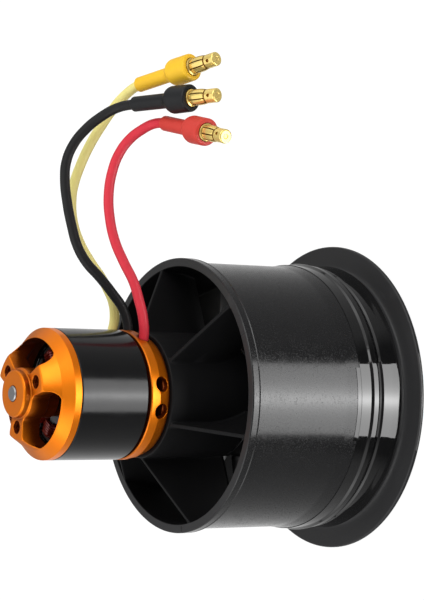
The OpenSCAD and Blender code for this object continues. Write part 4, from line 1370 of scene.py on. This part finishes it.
@dataclass(frozen=True)
class VaneSet:
    """Hub tube that carries the motor, and the guide vanes that hold it in the duct."""

    levels: Levels
    count: int = 6
    thickness: float = 0.75
    bend_r: float = 18.0
    lean: float = 4.2
    phase_deg: float = 23.4
    rise: float = 8.3
    setback: float = 0.4
    fillet: float = 0.4
    corner: float = 0.2
    sunk: float = 0.25
    hub_wall: float = 1.2
    plate: float = 1.5
    plate_hole_r: float = 4.2

    def build(self) -> None:
        """Makes the hub and the vanes."""
        fit_out(self._hub(), SHADED_NYLON, Body.DUCT, "stator_hub")
        fit_out(self._vanes(), SHADED_NYLON, Body.DUCT, "guide_vanes")

    def _hub(self) -> bpy.types.Object:
        """Makes the hub tube with the plate that the motor is screwed to.

        Returns:
            The hub in its place.
        """
        at = self.levels
        inside = at.hub_r - self.hub_wall
        plate_z = at.hub_end_z - self.plate
        mesh = bmesh.new()
        revolve(mesh, rounded([
            (at.hub_r, at.hub_z, 0.3), (at.hub_r, at.hub_end_z, 0.3),
            (self.plate_hole_r, at.hub_end_z, 0.1), (self.plate_hole_r, plate_z, 0.1),
            (inside, plate_z, 0.3), (inside, at.hub_z, 0.3)]))
        return as_object("vane_hub", mesh)

    def _vanes(self) -> bpy.types.Object:
        """Makes the vanes, with rounded edges and fillets at the hub and the duct.

        Returns:
            The vanes in their places.
        """
        sections = [self._section(share) for share in self._shares()]
        mesh = bmesh.new()
        for i in range(self.count):
            turn = Matrix.Rotation(math.radians(self.phase_deg) + math.tau * i / self.count, 3, "Z")
            loft(mesh, [[tuple(turn @ Vector(p)) for p in section] for section in sections])
        return as_object("vane_blades", mesh)

    def _shares(self) -> list[float]:
        """Places a vane's sections between hub and duct, closer together at the fillets.

        Returns:
            Shares of the way from the hub to the duct.
        """
        parts, fillet_parts = 9, (0.0, 0.1, 0.25, 0.45, 0.7, 1.0)
        span = self.levels.exit_r - self.levels.hub_r + 2 * self.sunk
        close = [0.0] + [(self.sunk + self.fillet * part) / span for part in fillet_parts]
        middle = [close[-1] + (1 - 2 * close[-1]) * k / parts for k in range(1, parts)]
        return close + middle + [1 - s for s in reversed(close)]

    def _section(self, share: float) -> list[Point]:
        """Draws the outline of a vane on a cylinder round the axis.

        Args:
            share: Share of the way from the hub to the duct.

        Returns:
            Points of the outline, before the vane is turned to its angle.
        """
        at = self.levels
        low_r = at.hub_r - self.sunk
        span = at.exit_r - at.hub_r + 2 * self.sunk
        from_wall = min(share, 1 - share) * span - self.sunk
        half = self.thickness / 2 + edge_drop(from_wall, self.fillet)
        mid_r = low_r + span * share
        front = at.hub_z + self.setback + half
        rise = self.rise * min(max((at.exit_r - mid_r) / (at.exit_r - at.hub_r), 0.0), 1.0)
        tail = at.exit_z + rise - self.corner - 0.03
        steps, round_steps = 22, 6
        spine = []
        for k in range(steps + 1):
            z = front + (tail - front) * k / steps
            below = max(at.exit_z - z, 0.0)
            across = math.sqrt(self.bend_r ** 2 - below ** 2)
            spine.append((self.bend_r - across - self.lean, z, math.atan(-below / across)))
        flat = [(y + half * math.cos(a), z - half * math.sin(a)) for y, z, a in spine]
        y, z, a = spine[-1]
        for side in (1, -1):
            turns = [math.pi / 2 * k / round_steps for k in range(1, round_steps + 1)]
            flat += [(y + side * (half - self.corner + self.corner * math.cos(t)),
                      z + self.corner * math.sin(t)) for t in (turns if side == 1 else reversed(turns))]
        flat += [(y - half * math.cos(a), z + half * math.sin(a)) for y, z, a in reversed(spine)]
        y, z, a = spine[0]
        flat += [(y - half * math.cos(t + a), z - half * math.sin(t + a))
                 for t in (math.pi * k / round_steps for k in range(1, round_steps))]
        section = []
        for y, z in flat:
            outer = (at.bore_at(min(z, at.exit_z)) if z > at.hub_z else at.bore_r) + self.sunk
            r = low_r + (outer - low_r) * share
            section.append((math.sqrt(r * r - y * y), y, z))
        return section


@dataclass(frozen=True)
class Window:
    """Opening between two arms of the bell, with its middle on the X axis and its corners rounded."""

    out_r: float
    in_r: float
    out_corner: float
    in_corner: float
    side_r: float
    taper: float

    def _corner(self, centre_r: float, corner_r: float) -> tuple[float, Vector]:
        """Returns the angle and the place of a corner's centre."""
        angle = math.pi / 3 - self.taper - math.asin((self.side_r + corner_r) / centre_r)
        return angle, Vector((math.cos(angle), math.sin(angle))) * centre_r

    def clear(self, point: Vector) -> float:
        """Measures the distance from a point to the opening.

        Args:
            point: Point of the bell's plan, turned so that the opening lies on the X axis.

        Returns:
            The distance, which is below zero inside the opening.
        """
        here = Vector((point.x, abs(point.y)))
        slant = math.pi / 3 - self.taper
        square = slant + math.pi / 2
        far, centre = self._corner(self.out_r - self.out_corner, self.out_corner)
        off = here - centre
        if far <= math.atan2(off.y, off.x) <= square:
            return off.length - self.out_corner
        near, centre = self._corner(self.in_r + self.in_corner, self.in_corner)
        off = here - centre
        if square <= math.atan2(off.y, off.x) % math.tau <= near + math.pi:
            return off.length - self.in_corner
        from_axis = here.x * math.sin(slant) - here.y * math.cos(slant)
        return max(here.length - self.out_r, self.in_r - here.length, self.side_r - from_axis)

    def outline(self, grow: float) -> list[Vector]:
        """Draws the opening's outline.

        Args:
            grow: Distance by which the outline lies outside the opening.

        Returns:
            Points of the outline, anticlockwise.
        """
        axis = Vector((0.0, 0.0))
        out_steps, in_steps, corner_steps, side_steps = 20, 10, 12, 5
        square = math.radians(150) - self.taper
        far, far_centre = self._corner(self.out_r - self.out_corner, self.out_corner)
        near, near_centre = self._corner(self.in_r + self.in_corner, self.in_corner)
        outer = arc(axis, self.out_r + grow, 0.0, far, out_steps) + arc(
            far_centre, self.out_corner + grow, far, square, corner_steps)[1:]
        inner = arc(near_centre, self.in_corner + grow, square, near + math.pi, corner_steps)[:-1] + arc(
            axis, self.in_r - grow, near, 0.0, in_steps)
        side = [outer[-1].lerp(inner[0], k / side_steps) for k in range(1, side_steps)]
        half = outer + side + inner
        return half + [Vector((p.x, -p.y)) for p in reversed(half[1:-1])]


@dataclass(frozen=True)
class Motor:
    """Outrunner motor: base with vents, black can, bell with three arms, and the wound stator."""

    levels: Levels
    base_front_r: float = 11.85
    base_cone_h: float = 2.9
    base_h: float = 4.9
    base_skirt: float = 1.8
    base_floor: float = 1.3
    base_seam_deg: float = -52.5
    tube_r: float = 4.4
    tube_seat_r: float = 5.6
    tube_gap: float = 0.8
    bearing_r: float = 3.55
    lead_hole_r: float = 1.15
    lead_hole_z: float = 2.8
    lead_holes_deg: tuple[float, ...] = (-30.0, 0.0, 27.0)
    vent_hole_r: float = 1.55
    vent_hole_z: float = 2.2
    vent_holes_deg: tuple[float, ...] = (78.5, 103.0, 168.0, 192.0, 258.0, 282.0)
    can_wall: float = 0.8
    band_h: float = 1.6
    bevel: float = 1.9
    arm_rise: float = 3.2
    arm_drop: float = 0.7
    bell_gap: float = 0.4
    arm_flat_r: float = 9.0
    boss_r: float = 4.65
    boss_h: float = 1.5
    shaft_r: float = 1.5
    arm_w: float = 5.0
    arm_taper_deg: float = 7.0
    window_in_r: float = 5.1
    window_rim: float = 0.15
    window_corner: float = 1.55
    window_inner_corner: float = 1.2
    arm_pitch_r: float = 6.6
    arm_hole_r: float = 1.25
    arm_phase_deg: float = -68.0
    edge_r: float = 0.25
    seam: float = 0.18
    thread_pitch: float = 0.5
    teeth: int = 12
    tooth_w: float = 1.5
    wire_d: float = 0.42
    coil_turns: int = 6
    coil_layers: int = 2
    core_len: float = 11.0
    core_z: float = 54.95
    yoke_r: float = 6.1
    shoe_r: float = 9.8

    def build(self) -> None:
        """Makes the base, the can, the bell and the windings."""
        fit_out(self._base(), ORANGE_ANODISED, Body.DUCT, "motor_base")
        fit_out(self._can(), BLACK_STEEL, Body.ROTOR, "flux_can")
        fit_out(self._bell(), ORANGE_ANODISED, Body.ROTOR, "rotor_bell")
        fit_out(self._windings(), RED_ENAMEL, Body.DUCT, "windings")

    def _base(self) -> bpy.types.Object:
        """Makes the base: a wall with vent and lead holes, its floor and the tube for the bearings.

        Returns:
            The base in its place.
        """
        at = self.levels
        low, high = at.hub_end_z, at.hub_end_z + self.base_h
        inside = at.motor_r - self.base_skirt
        wall = rounded([
            (self.base_front_r - 0.15, low, 0.0), (self.base_front_r + 0.06, low + 0.15, 0.0),
            (at.motor_r, low + self.base_cone_h, 0.3), (at.motor_r, high - self.seam, 0.1),
            (at.motor_r - self.seam, high, 0.0)], closed=False)
        holes = [(-math.radians(a), low + self.lead_hole_z, self.lead_hole_r) for a in self.lead_holes_deg]
        holes += [(-math.radians(a), low + self.vent_hole_z, self.vent_hole_r) for a in self.vent_holes_deg]
        floor_r, floor_z, tube_z = inside + 0.1, low + self.base_floor, at.can_end_z - self.tube_gap
        mesh = bmesh.new()
        drum(mesh, wall, inside, holes, rounding=0.2, pitch=0.42,
             seam_angle=math.radians(self.base_seam_deg))
        revolve(mesh, [(self.bearing_r, low), (floor_r, low), (floor_r, floor_z), (self.tube_seat_r, floor_z),
                       (self.tube_seat_r, self.core_z), (self.tube_r, self.core_z), (self.tube_r, tube_z),
                       (self.bearing_r, tube_z)], segments=96)
        return as_object("motor_foot", mesh)

    def _can(self) -> bpy.types.Object:
        """Makes the steel can.

        Returns:
            The can in its place.
        """
        at = self.levels
        inside = at.motor_r - self.can_wall
        mesh = bmesh.new()
        revolve(mesh, rounded([
            (inside, at.can_z, 0.1), (at.motor_r, at.can_z, 0.22), (at.motor_r, at.can_end_z, 0.15),
            (inside, at.can_end_z, 0.1)]))
        return as_object("can_tube", mesh)

    def _arm_angles(self) -> list[float]:
        """Returns the angles of the bell's arms."""
        return [math.radians(self.arm_phase_deg) + math.tau * i / 3 for i in range(3)]

    def _opening(self) -> Window:
        """Shapes the opening between two arms.

        Returns:
            The opening.
        """
        taper = math.radians(self.arm_taper_deg)
        side_r = self.arm_w / 2 * math.cos(taper) - self.arm_pitch_r * math.sin(taper)
        return Window(
            self.levels.motor_r - self.bevel - self.window_rim, self.window_in_r, self.window_corner,
            self.window_inner_corner, side_r, taper)

    def _clear(self, point: Vector) -> float:
        """Measures the distance to the nearest opening or tapped hole.

        Args:
            point: Point of the bell's plan.

        Returns:
            The distance, which is below zero inside an opening or a hole.
        """
        opening = self._opening()
        nearest = math.inf
        for arm in self._arm_angles():
            hole = Vector((math.cos(arm), math.sin(arm))) * self.arm_pitch_r
            turned = Matrix.Rotation(-arm - math.pi / 3, 2) @ point
            nearest = min(nearest, (point - hole).length - self.arm_hole_r, opening.clear(turned))
        return nearest

    def _bell(self) -> bpy.types.Object:
        """Makes the bell: a turned cap with three windows between its arms and a tapped hole in each arm.

        Returns:
            The bell in its place.
        """
        at = self.levels
        edge_steps, hole_points, ring_points = 4, 40, 180
        ring_radii = {5.4, 6.2, 7.0, 7.8, 8.5, 9.6, 10.2, 10.8, 11.6, 12.2}
        bevel_z = at.can_end_z + self.band_h
        ring_z = bevel_z + self.bevel
        pad_z = ring_z + self.arm_rise
        boss_z = pad_z + self.boss_h
        floor_z, under_z = at.can_end_z + self.bell_gap, ring_z - self.arm_drop
        over = rounded([
            (self.shaft_r, boss_z - 0.12, 0.0), (self.shaft_r + 0.12, boss_z, 0.0),
            (self.boss_r, boss_z, 0.5), (self.boss_r + 0.06, pad_z, 0.3), (self.arm_flat_r, pad_z, 0.6),
            (at.motor_r - self.bevel, ring_z, 0.2), (at.motor_r, bevel_z, 0.0)], closed=False, steps=5)
        below = [(self.shaft_r, floor_z), (self.boss_r, floor_z), (self.boss_r + 0.08, under_z),
                 (self.arm_flat_r - 0.5, under_z), (at.motor_r - 2.0, at.can_end_z + self.seam),
                 (at.motor_r, at.can_end_z + self.seam)]
        offsets = [self.edge_r * k / edge_steps for k in range(edge_steps + 1)]
        opening = self._opening()
        loops = []
        for arm in self._arm_angles():
            centre = Vector((math.cos(arm), math.sin(arm))) * self.arm_pitch_r
            turn = Matrix.Rotation(arm + math.pi / 3, 2)
            for off in offsets:
                loops.append([tuple(turn @ p) for p in opening.outline(off)])
                ring = arc(centre, self.arm_hole_r + off, 0.0, math.tau, hole_points)[:-1]
                loops.append([tuple(p) for p in ring])
        radii = sorted({round(r, 4) for r, _ in over + below} | ring_radii)
        turns = [math.tau * k / ring_points for k in range(ring_points)]
        circles = {r: [(r * math.cos(t), r * math.sin(t)) for t in turns] for r in radii}
        loops += [circles.pop(radii[0]), circles.pop(radii[-1])]
        clear_of_edges = self.edge_r + 0.12
        loose = [p for circle in circles.values() for p in circle if self._clear(Vector(p)) > clear_of_edges]

        def upper(point: Vector) -> Point:
            """Returns the place of a plan point on the outer face."""
            drop = edge_drop(self._clear(point), self.edge_r)
            return point.x, point.y, height_at(over, point.length) - drop

        def lower(point: Vector) -> Point:
            """Returns the place of a plan point on the inner face."""
            lift = edge_drop(self._clear(point), self.edge_r)
            return point.x, point.y, height_at(below, point.length) + lift

        def solid(point: Vector) -> bool:
            """Returns whether a plan point lies on the bell."""
            return self._clear(point) > -1e-4 and point.length > self.shaft_r - 0.01

        mesh = bmesh.new()
        pierce(mesh, loops, loose, solid, upper, lower)
        skirt_r, skirt_t = at.motor_r - self.can_wall - 0.05, 1.1
        skirt_z, skirt_top = at.can_end_z - 1.5, at.can_end_z + 0.3
        revolve(mesh, [(skirt_r, skirt_z), (skirt_r, skirt_top), (skirt_r - skirt_t, skirt_top),
                       (skirt_r - skirt_t, skirt_z)], segments=96)
        for arm in self._arm_angles():
            self._thread(mesh, arm, under_z + 0.2, pad_z - 0.35)
        return as_object("bell_cap", mesh)

    def _thread(self, mesh: bmesh.types.BMesh, arm: float, low: float, high: float) -> None:
        """Adds the ridge of the screw thread in an arm's hole.

        Args:
            mesh: Mesh that receives the ridge.
            arm: Angle of the arm.
            low: Height at which the thread starts.
            high: Height at which it ends.
        """
        steps, ridge_r, ridge_sides = 24, 0.13, 5
        radius = self.arm_hole_r - 0.02
        count = round((high - low) / self.thread_pitch * steps)
        centre = Vector((self.arm_pitch_r * math.cos(arm), self.arm_pitch_r * math.sin(arm), 0.0))
        path = []
        for k in range(count + 1):
            angle = math.tau * k / steps
            path.append(centre + Vector((
                radius * math.cos(angle), radius * math.sin(angle), low + self.thread_pitch * k / steps)))
        sweep_tube(mesh, path, ridge_r, ridge_sides)

    def _windings(self) -> bpy.types.Object:
        """Makes the coils: on every tooth, one wire wound out along it and back in a second layer.

        Returns:
            The coils in their places.
        """
        route, sides = self._coil(), 6
        mesh = bmesh.new()
        for i in range(self.teeth):
            turn = Matrix.Rotation(math.tau * i / self.teeth, 3, "Z")
            sweep_tube(mesh, [turn @ p for p in route], self.wire_d / 2, sides)
        return as_object("coil_set", mesh)

    def _coil(self) -> list[Vector]:
        """Winds one coil round a tooth on the X axis.

        Returns:
            Points of the wire's route.
        """
        corner_points = 4
        per_turn = 4 * corner_points
        first, last = self.yoke_r + self.wire_d, self.shoe_r - self.wire_d
        route = []
        for layer in range(self.coil_layers):
            reach = self.wire_d * (layer + 0.5) + 0.12
            count = per_turn * self.coil_turns
            for i in range(count):
                share = i / count
                along = first + (last - first) * (share if layer % 2 == 0 else 1 - share)
                corner = i // corner_points + 3
                angle = math.pi / 2 * corner + math.pi / 2 * (i % corner_points) / (corner_points - 1)
                middle = math.pi / 2 * corner + math.pi / 4
                y = math.copysign(self.tooth_w / 2, math.cos(middle)) + reach * math.cos(angle)
                z = math.copysign(self.core_len / 2, math.sin(middle)) + reach * math.sin(angle)
                route.append(Vector((along, y, self.core_z + self.core_len / 2 + z)))
        return route


@dataclass(frozen=True)
class Fan:
    """Twelve-bladed fan with its hub cup, and the turned spinner in front of it."""

    levels: Levels
    blades: int = 12
    front_z: float = 18.6
    hub_len: float = 9.8
    hub_r: float = 12.5
    wall: float = 1.2
    boss_gap: float = 1.85
    boss_r: float = 5.1
    bore_r: float = 2.95
    web: float = 1.6
    tip_gap: float = 0.3
    blade_shift: float = 0.4
    chord: float = 9.6
    thickness: float = 1.0
    camber: float = 0.9
    root_deg: float = 38.0
    tip_deg: float = 58.0
    fillet: float = 0.8
    edge_t: float = 0.14
    spinner_r: float = 12.4
    nose_z: float = 5.0
    nose_t: float = 2.5
    spinner_wall: float = 1.2
    screw_seat_r: float = 2.0
    screw_seat_h: float = 1.2
    screw_r: float = 1.1

    def build(self) -> None:
        """Makes the fan and the spinner."""
        fit_out(self._fan(), FAN_NYLON, Body.ROTOR, "fan_rotor")
        fit_out(self._spinner(), TURNED_ALUMINIUM, Body.ROTOR, "spinner")

    def _fan(self) -> bpy.types.Object:
        """Makes the hub cup and its twisted blades.

        Returns:
            The fan in its place.
        """
        end = self.front_z + self.hub_len
        inside, web_z, boss_z = self.hub_r - self.wall, self.front_z + self.web, end - self.boss_gap
        mesh = bmesh.new()
        revolve(mesh, rounded([
            (self.bore_r, self.front_z, 0.1), (self.hub_r, self.front_z, 0.3), (self.hub_r, end, 0.3),
            (inside, end, 0.3), (inside, web_z, 0.6), (self.boss_r, web_z, 0.4), (self.boss_r, boss_z, 0.2),
            (self.bore_r, boss_z, 0.1)]))
        root, tip = self.hub_r - self.wall / 2, self.levels.bore_r - self.tip_gap
        steps, spans = 18, 14
        radii = [root, self.hub_r, self.hub_r + 0.15, self.hub_r + 0.35, self.hub_r + self.fillet]
        radii += [radii[-1] + (tip - radii[-1]) * k / spans for k in range(1, spans + 1)]
        places = [(1 - math.cos(math.pi * k / steps)) / 2 for k in range(steps + 1)]
        for i in range(self.blades):
            turn = math.tau * i / self.blades
            loft(mesh, [[self._blade_point(r, 1, x, turn) for x in places]
                        + [self._blade_point(r, -1, x, turn) for x in reversed(places)] for r in radii])
        return as_object("fan_wheel", mesh)

    def _blade_point(self, r: float, side: int, x: float, turn: float) -> Point:
        """Returns a point of a blade.

        Args:
            r: Radius of the point.
            side: 1 on the hollow face and -1 on the other.
            x: Place along the chord, from the leading edge.
            turn: Angle of the blade.

        Returns:
            The point in the row frame.
        """
        tip = self.levels.bore_r - self.tip_gap
        share = (r - self.hub_r) / (tip - self.hub_r)
        angle = math.radians(self.root_deg + (self.tip_deg - self.root_deg) * share)
        along = (x - 0.5) * self.chord
        edge = math.sqrt(max(1 - (2 * x - 1) ** 8, 0.0))
        half = (self.edge_t + self.thickness * 1.3 * math.sqrt(x) * (1 - x)) * edge
        half += edge_drop(r - self.hub_r, self.fillet) * edge
        off = 4 * self.camber * x * (1 - x) + side * half
        around = turn + (along * math.sin(angle) + off * math.cos(angle)) / r
        middle = self.front_z + self.hub_len / 2 - self.blade_shift
        z = middle + along * math.cos(angle) - off * math.sin(angle)
        return r * math.cos(around), r * math.sin(around), z

    def _spinner(self) -> bpy.types.Object:
        """Makes the spinner, with the seat of its screw.

        Returns:
            The spinner in its place.
        """
        base = self.front_z - 0.05
        height, inner_r, steps = base - self.nose_z, self.spinner_r - self.spinner_wall, 40
        start = math.asin((self.screw_seat_r + 0.1) / self.spinner_r)
        outer = [(self.spinner_r * math.sin(t), base - height * math.cos(t))
                 for t in (start + (math.pi / 2 - start) * k / steps for k in range(steps + 1))]
        start = math.asin(self.screw_r / inner_r)
        inner = [(inner_r * math.sin(t), base - (height - self.nose_t) * math.cos(t))
                 for t in (math.pi / 2 + (start - math.pi / 2) * k / steps for k in range(steps + 1))]
        seat_z = self.nose_z + self.screw_seat_h
        mesh = bmesh.new()
        seat = [(self.screw_r, seat_z), (self.screw_seat_r, seat_z), (self.screw_seat_r, outer[0][1] + 0.1)]
        revolve(mesh, seat + outer + inner)
        return as_object("nose_cone", mesh)


@dataclass(frozen=True)
class InnerWorks:
    """CAD nodes whose shape is already right, with the finish of each."""

    finishes: Mapping[str, Finish] = field(default_factory=lambda: {
        "motor_shaft": GROUND_STEEL, "motor_screws": GROUND_STEEL, "fan_nut": GROUND_STEEL,
        "bearing_outer_rings": GROUND_STEEL, "bearing_inner_rings": GROUND_STEEL,
        "bearing_balls": GROUND_STEEL,
        "stator_core": LAMINATED_STEEL, "magnets": NICKEL_PLATE, "fan_adapter": TURNED_ALUMINIUM,
        "shaft_circlip": OILED_STEEL, "spinner_screw": OILED_STEEL, "thrust_washer": PLAIN_BRASS})

    def dress(self, nodes: Mapping[str, bpy.types.Object]) -> None:
        """Gives each node its finish.

        Args:
            nodes: Objects of the frame's nodes, by name.
        """
        for name, finish in self.finishes.items():
            for slot in nodes[name].material_slots:
                slot.material = finish.material()
            LOG.info("%s is dressed in %s", name, finish.name)


LEADS = (
    Lead("red", (
        (9.3, -4.7, 50.7), (11.6, -5.9, 50.7), (14.9, -6.9, 51.5), (19.2, -6.8, 52.7), (22.5, -6.5, 53.8),
        (26.3, -5.6, 55.6), (30.4, -4.8, 57.3), (35, -4.4, 58.4), (39.8, -4.4, 58.8), (44.4, -5, 58.4),
        (47.6, -5.9, 57.6), (50.5, -7.3, 56.1), (52.5, -9.4, 54.4), (53.5, -11.2, 53.1), (53.5, -14.2, 52.3)),
        (49.6, -35.2, 52), RED_SILICONE, RED_POLYOLEFIN),
    Lead("black", (
        (10.4, 0, 50.7), (13, 0, 50.7), (17, 0, 52), (20.3, 0.4, 54.5), (23.4, 1, 57.2), (26.2, 1.8, 59.8),
        (29.4, 2.3, 61.7), (33.5, 2.6, 63), (38.1, 2.9, 64), (42.6, 3, 64.6), (46, 2.8, 64.5),
        (49.4, 1.8, 63.6), (52.5, 0, 61.9), (55, -2.3, 59.8), (56.7, -5, 57.8), (57.3, -8.9, 56.2)),
        (58, -29.3, 50.2), BLACK_SILICONE, BLACK_POLYOLEFIN),
    Lead("yellow", (
        (9, 5.2, 50.7), (11.3, 6.5, 50.7), (15, 5.7, 50.6), (18.4, 4.9, 51.5), (21, 4.9, 52.8),
        (23.4, 5.1, 54.3), (26.4, 5.7, 56.5), (30.4, 6.5, 58.8), (34.6, 6.8, 60.3), (39.1, 6.7, 60.8),
        (41.9, 6.3, 60.6), (45.5, 5.3, 59.9), (49.6, 3.9, 58.7), (53.5, 2.1, 57.2), (56.8, 0.2, 55.8),
        (59.4, -2, 54.6), (61.6, -5.9, 53.4)),
        (65.4, -26.3, 48.6), YELLOW_SILICONE, YELLOW_POLYOLEFIN),
)


def main() -> None:
    """Loads the frame and builds the camera, the leads and then every other sub-assembly."""
    logging.basicConfig(level=logging.INFO, format="%(name)s: %(message)s")
    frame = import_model()
    levels = Levels.read()
    PhotoCamera().build()
    for lead in LEADS:
        lead.build()
    Studio().build()
    Duct(levels).build()
    VaneSet(levels).build()
    Motor(levels).build()
    Fan(levels).build()
    InnerWorks().dress(frame["nodes"])


if __name__ == "__main__":
    main()
